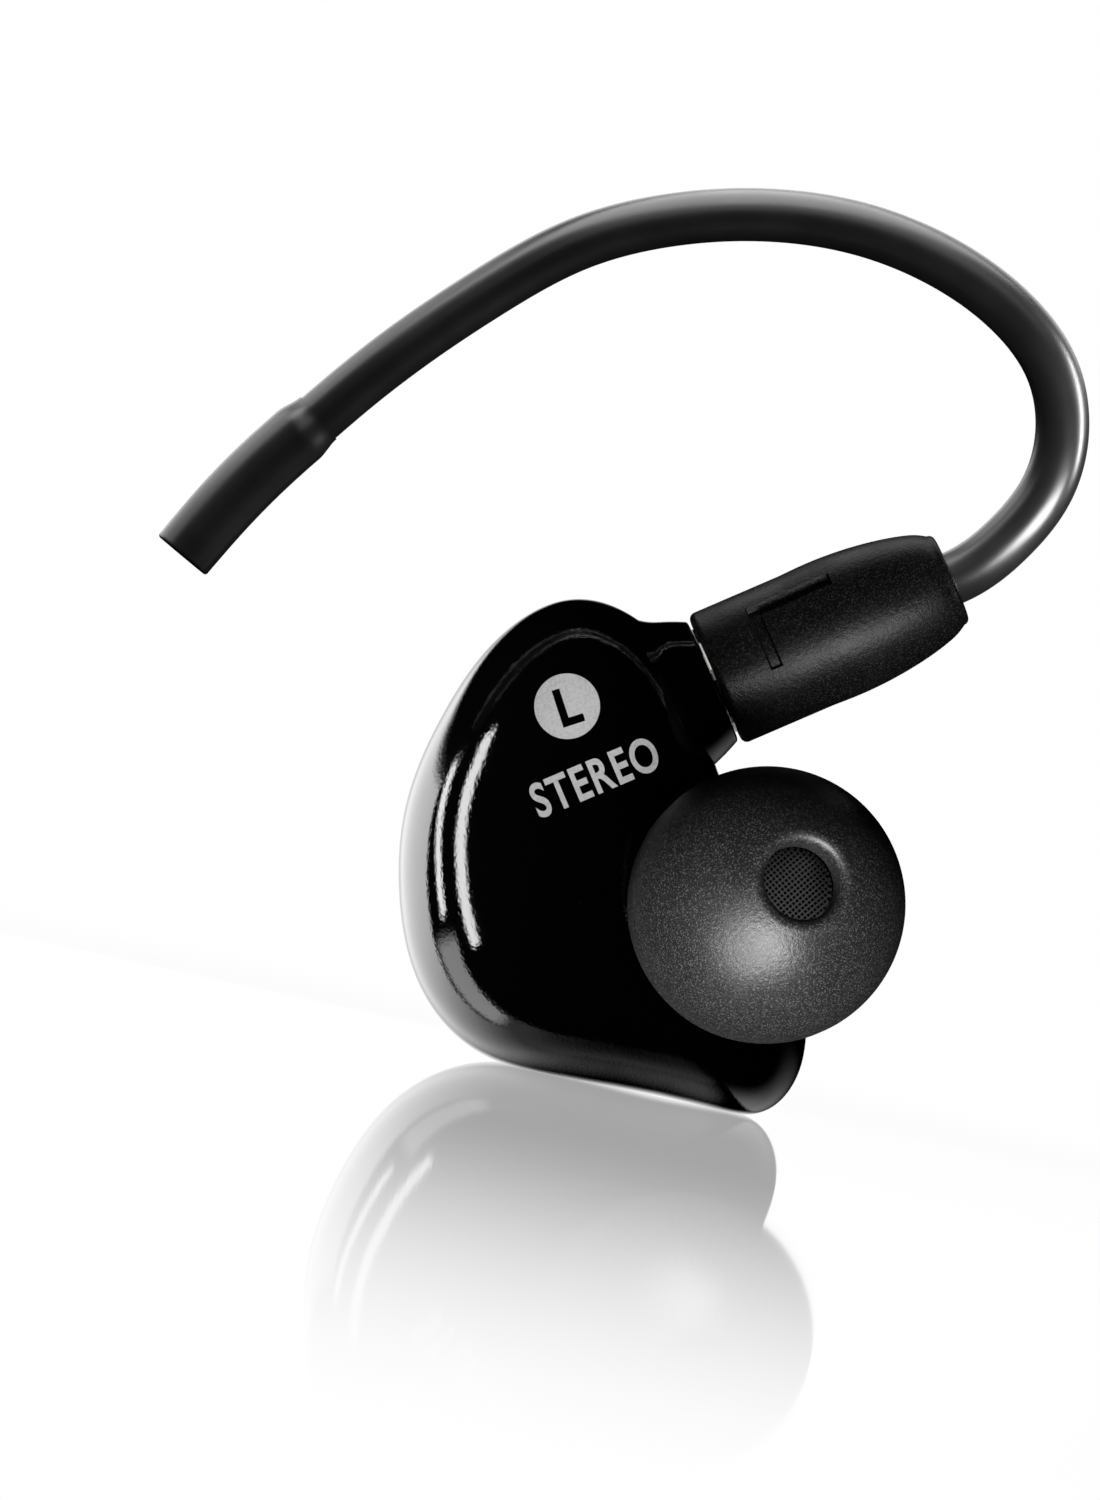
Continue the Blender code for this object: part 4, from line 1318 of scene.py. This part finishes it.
@dataclass
class PlugGrip:
    """The soft overmould on the plug, with the sunk left-side letter."""

    axis: Axis
    finish: bpy.types.Material
    start: float = 0.14
    length: float = 11.71
    radius: float = 3.2
    barrel_bore: float = 1.4
    hook_bore: float = 1.34
    step: float = 5.4
    mark_corner: tuple[float, float] = (2.73, 2.15)
    long_arm: float = 3.75
    short_arm: float = 2.75
    stroke: float = 0.5
    depth: float = 0.3
    wall_run: float = 0.05
    line_gap: float = 0.03
    nose_round: float = 0.32
    tail_round: float = 0.28
    tail: tuple[tuple[float, float], ...] = (
        (7.2, 3.2), (6.0, 3.24), (4.6, 3.2), (3.4, 3.08), (2.2, 2.88), (1.3, 2.66), (0.65, 2.42), (0.28, 2.2),
    )

    def outside(self, u: np.ndarray) -> np.ndarray:
        """The outer radius at distances u from the nose: the smooth curve through the tail's points."""
        line = smooth_line(np.array([(self.length - back, r) for back, r in self.tail]), 160)
        return np.interp(u, line[:, 0], line[:, 1])

    def with_lines(self, plain: np.ndarray, lines: list[float]) -> np.ndarray:
        """Adds lines to evenly spaced values and drops plain values that crowd them.

        Args:
            plain: Array (n,) of evenly spaced values.
            lines: The values that must be there.

        Returns:
            The sorted values.
        """
        extra = np.array(sorted(lines))
        far = np.abs(plain[:, None] - extra[None, :]).min(axis=1) > self.line_gap
        return np.sort(np.concatenate([plain[far], extra]))

    def within(self, low: float, high: float, value: np.ndarray) -> np.ndarray:
        """1 between two of the letter's walls and 0 past their run.

        Args:
            low: Where the first wall stands.
            high: Where the second wall stands.
            value: Array of places.

        Returns:
            Array like value, from 0 to 1.
        """
        half = self.wall_run / 2
        rising = eased((low - half, low + half), value)
        falling = 1 - eased((high - half, high + half), value)
        return np.minimum(rising, falling)

    def build(self) -> list[Piece]:
        """Makes the grip as a grid in (u, a): r = R(u) - depth M(u, v) with v = -r0 cos a across the
        front, where M is 1 inside the letter's bars and falls to 0 over the walls' run. Grid lines lie on
        both sides of each wall, so the walls are crisp.

        Returns:
            The grip's piece.
        """
        u0, v0 = self.mark_corner
        half, run = self.stroke / 2, self.wall_run
        u_walls = [u0 - half, u0 + half, u0 + self.long_arm]
        v_walls = [v0 + half, v0 - half, v0 - self.short_arm]
        u_lines = [w + d for w in u_walls for d in (-run, 0.0)] + [u_walls[0] + run, u_walls[1] + run]
        v_lines = [w + d for w in v_walls for d in (-run / 2, run / 2)]
        u = self.with_lines(np.linspace(self.nose_round, self.length - self.tail_round, 90), u_lines)
        # a runs round the plug from its own x axis; the ear side is at a = -90 degrees, where v = -r cos a
        a_lines = [-math.acos(-v / self.radius) for v in v_lines]
        a = self.with_lines(np.radians(np.linspace(-180, 180, 181))[:-1], a_lines)
        big_u, big_a = np.meshgrid(u, a, indexing="ij")
        across = -self.radius * np.cos(big_a)
        front = np.sin(big_a) < 0
        stem = self.within(u_walls[0], u_walls[2], big_u) * self.within(v_walls[1], v_walls[0], across)
        foot = self.within(u_walls[0], u_walls[1], big_u) * self.within(v_walls[2], v_walls[0], across)
        mask = np.where(front, np.maximum(stem, foot), 0.0)
        r = self.outside(big_u) - self.depth * mask
        skin = np.stack([r * np.cos(big_a), r * np.sin(big_a), big_u + self.start], axis=-1)
        nose_r, end_r = self.outside(np.array([self.nose_round, self.length - self.tail_round]))
        nose = arc((nose_r - self.nose_round, self.nose_round), self.nose_round, -90, -6, 8)
        tail = arc((end_r - self.tail_round, self.length - self.tail_round), self.tail_round, 22, 90, 8)
        before = np.vstack([[[self.barrel_bore, 0.0]], nose])
        step = self.step
        hole = np.array([[self.hook_bore, self.length], [self.hook_bore, step], [self.barrel_bore, step]])
        after = np.vstack([tail, hole])
        rings = []
        for profile in (before, after):
            pr, ph = profile[:, :1], profile[:, 1:]
            ring = [pr * np.cos(a), pr * np.sin(a), np.broadcast_to(ph + self.start, (len(profile), len(a)))]
            rings.append(np.stack(ring, axis=-1))
        grid = np.concatenate([rings[0], skin, rings[1]])
        thing = add_lattice(
            "plug_grip", self.axis.place(grid), wrap_rows=True, wrap_columns=True, sharp=math.radians(50)
        )
        return [Piece(thing, Body.PLUG, self.finish, Slot.SOFT, ("plug_overmould",))]


@dataclass
class EarHook:
    """The formed hook tube and the sleeve on its far end."""

    plug_axis: Axis
    sleeve_axis: Axis
    finish: bpy.types.Material
    radius_at_plug: float = 1.24
    radius_at_sleeve: float = 1.19
    wall: float = 0.32
    tube_facets: int = 40
    sleeve_facets: int = 96
    from_plug: tuple[float, ...] = (9.6, 11.0, 12.4)
    route: tuple[tuple[float, float, float], ...] = (
        (18.75, -4.5, 14.75), (20.4, -4.5, 16.9), (21.1, -4.6, 19.7), (20.6, -4.8, 22.4),
        (18.65, -5.1, 25.05), (15.8, -5.5, 27.1), (12.0, -5.9, 28.65), (7.6, -6.3, 29.3),
        (3.2, -6.7, 29.05), (-1.0, -7.0, 27.95), (-4.9, -7.2, 25.85), (-8.7, -7.35, 23.3),
    )
    sleeve_length: float = 8.8
    sleeve_bow: float = 0.24
    sleeve_waist: float = 1.44
    sleeve_mouth: float = 1.41
    sleeve_route: tuple[float, ...] = (-10.5, -8.8, -6.0, -3.5, -1.55)
    shoulder_run: float = 1.2
    outlet_radius: float = 0.72
    outlet_length: float = 1.5

    def bowed(self, heights: np.ndarray) -> np.ndarray:
        """How far the sleeve's centre stands off its straight axis: -bow sin(pi h / length), in mm."""
        return -self.sleeve_bow * np.sin(math.pi * heights / self.sleeve_length)

    def line(self) -> np.ndarray:
        """The hook's smooth centre line, from inside the grip to just before the outlet.

        Returns:
            Array (420, 3) of points in mm.
        """
        start = self.plug_axis.place(np.array([(0, 0, h) for h in self.from_plug], dtype=float))
        heights = np.array(self.sleeve_route)
        end = self.sleeve_axis.place(np.stack([self.bowed(heights), 0 * heights, heights], axis=1))
        return smooth_line(np.vstack([start, self.route, end]), 420)

    def swept(self, name: str, line: np.ndarray, outer: np.ndarray, inner: np.ndarray) -> bpy.types.Object:
        """A tube whose section is carried along a line: side = Y less its part along the line, other = the
        line's direction x side, point = centre + r (flat cos a side + sin a other).

        Args:
            name: The piece's name.
            line: Array (n, 3) of centres.
            outer: Outer radius at each centre.
            inner: Inner radius at each centre.

        Returns:
            The closed tube.
        """
        ahead = np.gradient(line, axis=0)
        ahead /= np.linalg.norm(ahead, axis=1, keepdims=True)
        side = np.array([0, 1.0, 0]) - ahead * ahead[:, 1:2]
        side /= np.linalg.norm(side, axis=1, keepdims=True)
        other = np.cross(ahead, side)
        a = np.arange(self.tube_facets)[None, :, None] * math.tau / self.tube_facets
        ring = np.cos(a) * side[:, None, :] + np.sin(a) * other[:, None, :]
        outside = line[:, None, :] + outer[:, None, None] * ring
        inside = line[:, None, :] + inner[:, None, None] * ring
        return add_lattice(name, np.concatenate([outside, inside[::-1]]), wrap_rows=True, wrap_columns=True)

    def sleeve(self) -> bpy.types.Object:
        """The outlet sleeve: a profile of radii r and heights h carried along the bowed centre. A ring leans
        by t = atan of the bow's slope, so point = (bow + r cos a cos t, r sin a, h - r cos a sin t).

        Returns:
            The closed sleeve, with a rounded shoulder and mouth.
        """
        long, mouth, waist = self.sleeve_length, self.sleeve_mouth, self.sleeve_waist
        bore = self.radius_at_sleeve + 0.03
        run = np.linspace(0, 1, 14)
        rise = (waist - bore - 0.04) * eased((0, 1), run)
        shoulder = np.stack([bore + 0.04 + rise, run * self.shoulder_run - long], axis=1)
        side_points = [(waist, self.shoulder_run + 0.2 - long), (waist, -long * 0.5), (mouth, -0.25)]
        side = smooth_line(np.array(side_points), 48)
        rounded = arc((mouth - 0.14, -0.14), 0.14, 0, 90, 7)
        hole, deep = self.outlet_radius, -self.outlet_length
        outlet = np.array([[hole + 0.08, 0.0], [hole, -0.08], [hole, deep], [bore, deep]])
        back = np.stack([np.full(24, bore), np.linspace(deep - 0.3, -long, 24)], axis=1)
        profile = np.vstack([shoulder, side, rounded, outlet, back])
        a = np.arange(self.sleeve_facets)[:, None] * math.tau / self.sleeve_facets
        r, h = profile[None, :, 0], profile[None, :, 1]
        slope = -self.sleeve_bow * math.pi / self.sleeve_length * np.cos(math.pi * h / self.sleeve_length)
        lean = np.arctan(slope)
        across = self.bowed(h) + r * np.cos(a) * np.cos(lean)
        local = np.stack([across, r * np.sin(a), h - r * np.cos(a) * np.sin(lean)], axis=-1)
        placed = self.sleeve_axis.place(local)
        return add_lattice("outlet_sleeve_skin", placed, wrap_rows=True, wrap_columns=True)

    def build(self) -> list[Piece]:
        """Makes the tube and its sleeve.

        Returns:
            The hook's pieces.
        """
        line = self.line()
        outer = np.linspace(self.radius_at_plug, self.radius_at_sleeve, len(line))
        tube = self.swept("ear_hook_tube", line, outer, outer - self.wall)
        return [
            Piece(tube, Body.PLUG, self.finish, Slot.HOOK, ("ear_hook",)),
            Piece(self.sleeve(), Body.PLUG, self.finish, Slot.SOFT, ("outlet_sleeve",)),
        ]


@dataclass
class CarriedNodes:
    """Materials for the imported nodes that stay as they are."""

    nodes: dict[str, bpy.types.Object]
    nozzle_axis: Axis

    def build(self) -> None:
        """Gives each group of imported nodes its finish."""
        nickel = PlainMetal("nickel_plate", (0.62, 0.61, 0.58), 0.16)
        gold = PlainMetal("gold_plate", (0.83, 0.62, 0.27), 0.2)
        steel = PlainMetal("magnet_steel", (0.5, 0.5, 0.51), 0.32)
        white = MouldedPlastic("white_insulator", (0.78, 0.78, 0.75), 0.45)
        dark = MouldedPlastic("driver_plastic", (0.03, 0.03, 0.031), 0.5)
        film = MouldedPlastic("diaphragm_film", (0.6, 0.56, 0.45), 0.28)
        foam = MouldedPlastic("open_foam", (0.1, 0.1, 0.1), 0.9, 14000.0, 4e-5)
        groups: tuple[tuple[Finish, tuple[str, ...]], ...] = (
            (nickel, ("socket_barrel", "plug_barrel", "screen_retainer")),
            (gold, ("socket_contact", "plug_pin")),
            (steel, ("snap_ring", "crimp_ferrule", "driver_cover", "magnet", "magnet_yoke", "pole_plate")),
            (WovenScreen(self.nozzle_axis), ("nozzle_screen",)),
            (white, ("socket_insulator", "plug_insulator")),
            (dark, ("driver_frame",)),
            (film, ("diaphragm_dome", "diaphragm_surround")),
            (foam, ("nozzle_damper", "driver_gasket", "rear_felt")),
            (PlainMetal("copper_wire", (0.75, 0.38, 0.2), 0.35), ("voice_coil", "wire_return")),
            (MouldedPlastic("board_mask", (0.02, 0.14, 0.06), 0.4), ("terminal_board",)),
            (MouldedPlastic("red_enamel", (0.5, 0.03, 0.02), 0.35), ("wire_signal",)),
            (MouldedPlastic("lead_sheath", (0.02, 0.02, 0.02), 0.45), ("lead_core",)),
        )
        for finish, names in groups:
            made = finish.build()
            for name in names:
                node = self.nodes[name]
                node.data.materials.clear()
                node.data.materials.append(made)
                LOG.info("%s is %s", name, made.name)


# ------------------------------------------------------------------ stage


class Lit(Enum):
    """Groups of things that a light reaches."""

    GLOSS = "gloss_pieces"
    PRINT = "print_pieces"
    TIP = "tip_piece"
    GRIP = "grip_piece"
    HOOK = "hook_pieces"
    METAL = "carried_pieces"
    MIRRORS = "gloss_pieces_and_floor"


@dataclass(frozen=True)
class Card:
    """A rectangular soft light. Bearings run from -X (0) through the front (90), in degrees; heights are
    above level; the spread is its width and height as seen from the object."""

    name: str
    bearing: float
    height: float
    spread: tuple[float, float]
    radiance: float
    lean: float = 0.0
    distance: float = 300.0
    aim: tuple[float, float, float] = (-6.0, -8.0, 0.0)
    lit: Lit = Lit.GLOSS


@dataclass(frozen=True)
class Sector:
    """A soft-edged part of the surround that gloss sees: from and to in bearing and in height, the width
    of each soft edge, and a level."""

    bearing: tuple[float, float]
    bearing_edges: tuple[float, float]
    height: tuple[float, float]
    height_edges: tuple[float, float]
    level: float


@dataclass
class Studio:
    """A pale floor, a white surround, soft cards and the camera."""

    floor_height: float = -11.78
    floor_tilt: float = 12.2
    floor_pivot: float = 7.2
    camera_at: tuple[float, float, float] = (-2.27, -406.0, 5.0)
    lens: float = 211.2
    groups: dict[Lit, bpy.types.Collection] = field(default_factory=dict)
    shadow_share: float = 0.035
    mirror_share: float = 0.62
    fill: float = 0.12
    shell_radius: float = 1500.0
    shadow_reach: Range = (0.015, 0.09)
    mirror_along: Range = (-0.228, -0.06)
    mirror_aside: Range = (0.03, 0.05)
    mirror_behind: Range = (0.0, 0.03)
    mirror_grazing: Range = (0.8, 0.9)
    backdrop_edge: Range = (0.985, 0.994)
    sectors: tuple[Sector, ...] = (
        Sector((-84.0, -15.0), (24.0, 2.0), (-79.0, 22.0), (87.0, 5.0), 2.6),
        Sector((-98.0, -50.0), (8.0, 16.0), (-34.0, 22.0), (18.0, 12.0), 1.2),
        Sector((-15.0, 12.0), (6.0, 2.0), (-66.0, -14.0), (12.0, 6.0), 1.3),
        Sector((-72.0, 16.0), (12.0, 3.0), (-84.0, -40.0), (16.0, 14.0), 0.16),
        Sector((-165.0, -94.0), (66.0, 4.0), (-84.0, -8.0), (34.0, 30.0), 0.55),
    )

    def camera(self) -> None:
        """The camera, looking along +Y from the ear's side."""
        data = bpy.data.cameras.new("camera")
        data.lens = self.lens
        data.sensor_width = 36.0
        data.clip_start = 0.01
        made = bpy.data.objects.new("camera", data)
        made.location = Vector(self.camera_at) * MM
        made.rotation_euler = (math.pi / 2, 0, 0)
        bpy.context.scene.collection.objects.link(made)
        bpy.context.scene.camera = made

    def card(self, card: Card) -> None:
        """Hangs one soft light where its bearing and height put it, facing the object.

        Args:
            card: The light's place, size and level.
        """
        az, el = math.radians(card.bearing), math.radians(card.height)
        away = np.array([-math.cos(el) * math.cos(az), -math.cos(el) * math.sin(az), math.sin(el)])
        data = bpy.data.lights.new(card.name, "AREA")
        data.shape = "RECTANGLE"
        data.size, data.size_y = (2 * card.distance * MM * math.tan(math.radians(a / 2)) for a in card.spread)
        # A lamp's watts are its radiance times its area times pi
        data.energy = card.radiance * data.size * data.size_y * math.pi
        made = bpy.data.objects.new(card.name, data)
        made.location = Vector(np.array(card.aim) + card.distance * away) * MM
        facing = Vector(-away).to_track_quat("-Z", "Y")
        made.rotation_euler = (facing @ Quaternion((0.0, 0.0, 1.0), math.radians(card.lean))).to_euler()
        made.visible_camera = False
        made.light_linking.receiver_collection = self.groups[card.lit]
        bpy.context.scene.collection.objects.link(made)

    def lights(self) -> None:
        """The cards that draw the highlights and the soft light that shapes the matte pieces."""
        for card in (
            Card("left_tall_card", 21.0, 5.0, (8.5, 58.0), 4.9, lean=15.0),
            Card("left_narrow_card", -3.5, 7.5, (6.0, 38.0), 5.0, lean=18.0),
            Card("print_card", 84.0, 30.0, (50.0, 40.0), 3.4, lit=Lit.PRINT),
            Card("low_front_card", 79.0, -36.0, (42.0, 34.0), 42.0, aim=(6.0, -14.0, 0.0), lit=Lit.TIP),
            Card("grip_card", 109.0, -27.0, (34.0, 18.0), 16.0, aim=(14.0, -8.0, 8.0), lit=Lit.GRIP),
            Card("grip_top_card", -90.0, 62.0, (60.0, 40.0), 1.3, aim=(14.0, -8.0, 8.0), lit=Lit.GRIP),
            Card("overhead_card", 150.0, 80.0, (70.0, 60.0), 12.0, aim=(4.0, -5.5, 22.0), lit=Lit.HOOK),
            Card("left_high_card", 0.0, 49.0, (56.0, 28.0), 6.0, aim=(-10.0, -7.0, 22.0), lit=Lit.HOOK),
            Card("front_high_card", 112.0, 36.0, (46.0, 36.0), 2.4, aim=(4.0, -5.5, 22.0), lit=Lit.HOOK),
            Card("right_card", 180.0, 4.0, (11.0, 36.0), 110.0, aim=(20.0, -5.0, 18.0), lit=Lit.HOOK),
            Card(
                "near_grip_card", 128.0, -25.0, (36.0, 24.0), 80.0,
                distance=13.0, aim=(20.0, -5.0, 16.2), lit=Lit.HOOK,
            ),
            Card("metal_high_card", 80.0, 46.0, (120.0, 64.0), 1.0, lit=Lit.METAL),
            Card("metal_low_card", 120.0, -38.0, (70.0, 36.0), 0.55, lit=Lit.METAL),
            Card("behind_high_card", -90.0, 32.0, (110.0, 40.0), 3.0, aim=(4.0, -5.5, 22.0), lit=Lit.HOOK),
        ):
            self.card(card)

    def floor(self) -> None:
        """A plain pale floor with a soft mirror sheen that fades towards the camera."""
        mesh = bpy.data.meshes.new("floor")
        wide, deep = 1200.0, 1500.0
        corners = np.array([(-wide, -deep, 0), (wide, -deep, 0), (wide, deep, 0), (-wide, deep, 0)])
        tilt = math.radians(self.floor_tilt)
        x = corners[:, 0] * math.cos(tilt) + self.floor_pivot
        z = -corners[:, 0] * math.sin(tilt) + self.floor_height
        mesh.from_pydata((np.stack([x, corners[:, 1], z], axis=1) * MM).tolist(), [], [(0, 1, 2, 3)])
        floor = bpy.data.objects.new("floor", mesh)
        bpy.context.scene.collection.objects.link(floor)
        mesh.materials.append(self.floor_material())
        floor.visible_glossy = False
        floor.visible_shadow = False
        self.groups[Lit.MIRRORS].objects.link(floor)

    def floor_material(self) -> bpy.types.Material:
        """White to the camera, with part of its own shading kept so the object's shadow shows, and a mirror
        sheen whose share falls with the distance in front of the object.

        Returns:
            The floor's material.
        """
        made, tree, shader = new_material("pale_floor")
        nodes, links = tree.nodes, tree.links
        set_inputs(shader, Base_Color=(0.8, 0.8, 0.8, 1.0), Roughness=0.6)
        shader.inputs["Specular IOR Level"].default_value = 0.0
        white = nodes.new("ShaderNodeEmission")
        set_inputs(white, Color=(1.0, 1.0, 1.0, 1.0), Strength=1.0)
        sheen = nodes.new("ShaderNodeBsdfGlossy")
        set_inputs(sheen, Color=(1.0, 1.0, 1.0, 1.0), Roughness=0.03)
        path = nodes.new("ShaderNodeLightPath")
        at = coordinates(tree)
        length = nodes.new("ShaderNodeVectorMath")
        length.operation = "LENGTH"
        links.new(at, length.inputs[0])
        near = remap(tree, length.outputs["Value"], *self.shadow_reach, 1.0, 0.0, smooth=True)
        kept = combine(tree, "SUBTRACT", 1.0, combine(tree, "MULTIPLY", near, self.shadow_share))
        seen = nodes.new("ShaderNodeMixShader")
        links.new(combine(tree, "MULTIPLY", path.outputs["Is Camera Ray"], kept), seen.inputs["Fac"])
        links.new(shader.outputs["BSDF"], seen.inputs[1])
        links.new(white.outputs["Emission"], seen.inputs[2])
        parts = nodes.new("ShaderNodeSeparateXYZ")
        links.new(at, parts.inputs["Vector"])
        grazing = nodes.new("ShaderNodeLayerWeight")
        set_inputs(grazing, Blend=0.5)
        off_line = combine(tree, "ABSOLUTE", parts.outputs["X"], 0.0)
        share = remap(tree, parts.outputs["Y"], *self.mirror_along, 0.0, 1.0, smooth=True)
        for part in (
            remap(tree, off_line, *self.mirror_aside, 1.0, 0.0, smooth=True),
            remap(tree, parts.outputs["Y"], *self.mirror_behind, 1.0, 0.0, smooth=True),
            remap(tree, grazing.outputs["Facing"], *self.mirror_grazing, 0.0, 1.0),
            self.mirror_share,
            path.outputs["Is Camera Ray"],
        ):
            share = combine(tree, "MULTIPLY", share, part)
        mirrored = nodes.new("ShaderNodeMixShader")
        links.new(share, mirrored.inputs["Fac"])
        links.new(seen.outputs["Shader"], mirrored.inputs[1])
        links.new(sheen.outputs["BSDF"], mirrored.inputs[2])
        links.new(mirrored.outputs["Shader"], nodes["Material Output"].inputs["Surface"])
        return made

    @staticmethod
    def window(
        tree: bpy.types.NodeTree, value: bpy.types.NodeSocket, ends: Range, edges: Range
    ) -> bpy.types.NodeSocket:
        """1 between two angles and 0 outside them, with soft edges that lie inside.

        Args:
            tree: The tree it goes into.
            value: The angle, in degrees.
            ends: The lowest and highest angle.
            edges: The widths of the lower and the upper soft edge.

        Returns:
            The window's value.
        """
        up = remap(tree, value, ends[0], ends[0] + edges[0], 0.0, 1.0, smooth=True)
        down = remap(tree, value, ends[1] - edges[1], ends[1], 1.0, 0.0, smooth=True)
        return combine(tree, "MULTIPLY", up, down)

    def shell(self) -> None:
        """A wide shell that only gloss and the floor's sheen see: the pale backdrop behind and to the left,
        with the floor's glow. Its points are r (cos h cos b, cos h sin b, sin h) over heights h and
        bearings b."""
        h = np.radians(np.linspace(-90, 90, 49))[:, None]
        b = np.radians(np.linspace(0, 360, 96, endpoint=False))[None, :]
        grid = np.stack([np.cos(h) * np.cos(b), np.cos(h) * np.sin(b), np.sin(h) + 0 * b], axis=-1)
        shell = add_lattice("backdrop_shell", self.shell_radius * grid, wrap_columns=True)
        shell.data.materials.append(self.shell_material())
        shell.visible_camera = shell.visible_diffuse = shell.visible_shadow = False
        shell.light_linking.receiver_collection = self.groups[Lit.MIRRORS]

    def shell_material(self) -> bpy.types.Material:
        """The shell's glow by direction: white straight behind, and the sectors.

        Returns:
            The shell's material.
        """
        made, tree, shader = new_material("backdrop_glow")
        made.cycles.emission_sampling = "NONE"
        toward = tree.nodes.new("ShaderNodeVectorMath")
        toward.operation = "NORMALIZE"
        tree.links.new(coordinates(tree), toward.inputs[0])
        parts = tree.nodes.new("ShaderNodeSeparateXYZ")
        feed(tree, toward.outputs["Vector"], parts, "Vector")
        x, y, z = (parts.outputs[name] for name in "XYZ")
        toward_front, toward_left = (combine(tree, "MULTIPLY", part, -1.0) for part in (y, x))
        bearing = combine(tree, "ARCTAN2", toward_front, toward_left)
        bearing = combine(tree, "MULTIPLY", bearing, math.degrees(1))
        height = combine(tree, "MULTIPLY", combine(tree, "ARCSINE", z, 0.0), math.degrees(1))
        # Rays that skim the floor or an edge leave nearly along +Y and meet the white backdrop
        seen = remap(tree, y, *self.backdrop_edge, 0.0, 1.0)
        for sector in self.sectors:
            across = self.window(tree, bearing, sector.bearing, sector.bearing_edges)
            up = self.window(tree, height, sector.height, sector.height_edges)
            level = combine(tree, "MULTIPLY", combine(tree, "MULTIPLY", across, up), sector.level)
            seen = combine(tree, "MAXIMUM", seen, level)
        glow = tree.nodes.new("ShaderNodeEmission")
        feed(tree, seen, glow, "Strength")
        tree.links.new(glow.outputs["Emission"], tree.nodes["Material Output"].inputs["Surface"])
        tree.nodes.remove(shader)
        return made

    def surround(self) -> None:
        """The world: white to the camera and a dim even fill for the rest."""
        world = bpy.data.worlds.new("surround")
        bpy.context.scene.world = world
        world.use_nodes = True
        tree = world.node_tree
        background = tree.nodes["Background"]
        path = tree.nodes.new("ShaderNodeLightPath")
        level = combine(tree, "MAXIMUM", path.outputs["Is Camera Ray"], self.fill)
        feed(tree, level, background, "Strength")
        background.inputs["Color"].default_value = (1.0, 1.0, 1.0, 1.0)

    def build(self) -> None:
        """Sets the stage and the view transform."""
        bpy.context.scene.view_settings.view_transform = "Standard"
        self.groups = {lit: bpy.data.collections.new(lit.value) for lit in Lit}
        self.camera()
        self.floor()
        self.lights()
        self.shell()
        self.surround()
        LOG.info("stage set")


# ------------------------------------------------------------------ assembly


def joint_axis(frame: dict, name: str) -> np.ndarray:
    """The unit direction of a packed joint.

    Args:
        name: The joint's name.

    Returns:
        Its axis as an array.
    """
    found = next(j for j in frame["joints"] if j["name"] == name)
    axis = np.array(found["axis"], dtype=float)
    return axis / np.linalg.norm(axis)


def joint_place(frame: dict, name: str) -> np.ndarray:
    """A packed hinge's position.

    Args:
        name: The joint's name.

    Returns:
        Array (3,) in mm.
    """
    found = next(j for j in frame["joints"] if j["name"] == name)
    return np.array(found["pos_m"], dtype=float) / MM


def mount_of(frame: dict, name: str) -> tuple[np.ndarray, np.ndarray]:
    """A packed mount's point and direction.

    Args:
        name: The mount's name.

    Returns:
        Its point in mm and its direction.
    """
    found = next(m for m in frame["record"]["mounts"] if m["name"] == name)
    return np.array(found["pos_m"], dtype=float) / MM, np.array(found["axis"], dtype=float)


def middle_of(node: str) -> np.ndarray:
    """The middle of a node's box in mm."""
    low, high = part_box(node)
    return (np.array(low) + np.array(high)) / 2 / MM


def main() -> None:
    """Builds the finished monitor over the frame."""
    logging.basicConfig(level=logging.INFO, format="%(message)s")
    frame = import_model()

    plug_axis = Axis(joint_place(frame, "plug_swivel"), joint_axis(frame, "plug_swivel"))
    nozzle_direction = joint_axis(frame, "ear_tip_pull")
    # The screen's disc is centred on the nozzle's axis
    nozzle_axis = Axis(middle_of("nozzle_screen") - SCREEN_HEIGHT * nozzle_direction, nozzle_direction)
    outlet_point, outlet_direction = mount_of(frame, "outlet_face")
    outlet_direction = outlet_direction / np.linalg.norm(outlet_direction)
    sleeve_rim = Axis(outlet_point, outlet_direction)
    sleeve_axis = Axis(outlet_point - OUTLET_OFFSET * sleeve_rim.x, outlet_direction)

    groups = Groups(grain_and_glint_group(), handling_group())
    gloss = PolishedShell(groups).build()
    grip = SoftMoulding(groups, "grip_elastomer").build()
    silicone = SoftMoulding(
        groups, "tip_silicone", colour=(0.0045, 0.0045, 0.0045), roughness=(0.36, 0.48)
    ).build()
    hook = SatinTube(groups).build()
    ink = PrintedInk("silver_print").build()

    studio = Studio()
    studio.build()
    housing = Housing(plug_axis, nozzle_axis, gloss)
    builders = (
        housing,
        Markings(housing, ink),
        EarTip(nozzle_axis, silicone),
        PlugGrip(plug_axis, grip),
        EarHook(plug_axis, sleeve_axis, hook),
    )
    reached = {
        gloss: (Lit.GLOSS, Lit.MIRRORS),
        ink: (Lit.PRINT, Lit.MIRRORS),
        silicone: (Lit.TIP,),
        grip: (Lit.GRIP,),
        hook: (Lit.HOOK,),
    }
    for builder in builders:
        for piece in builder.build():
            piece.settle()
            for lit in reached[piece.finish]:
                studio.groups[lit].objects.link(piece.thing)
    for node in frame["nodes"].values():
        studio.groups[Lit.METAL].objects.link(node)
        studio.groups[Lit.MIRRORS].objects.link(node)
    CarriedNodes(frame["nodes"], nozzle_axis).build()


if __name__ == "__main__":
    main()
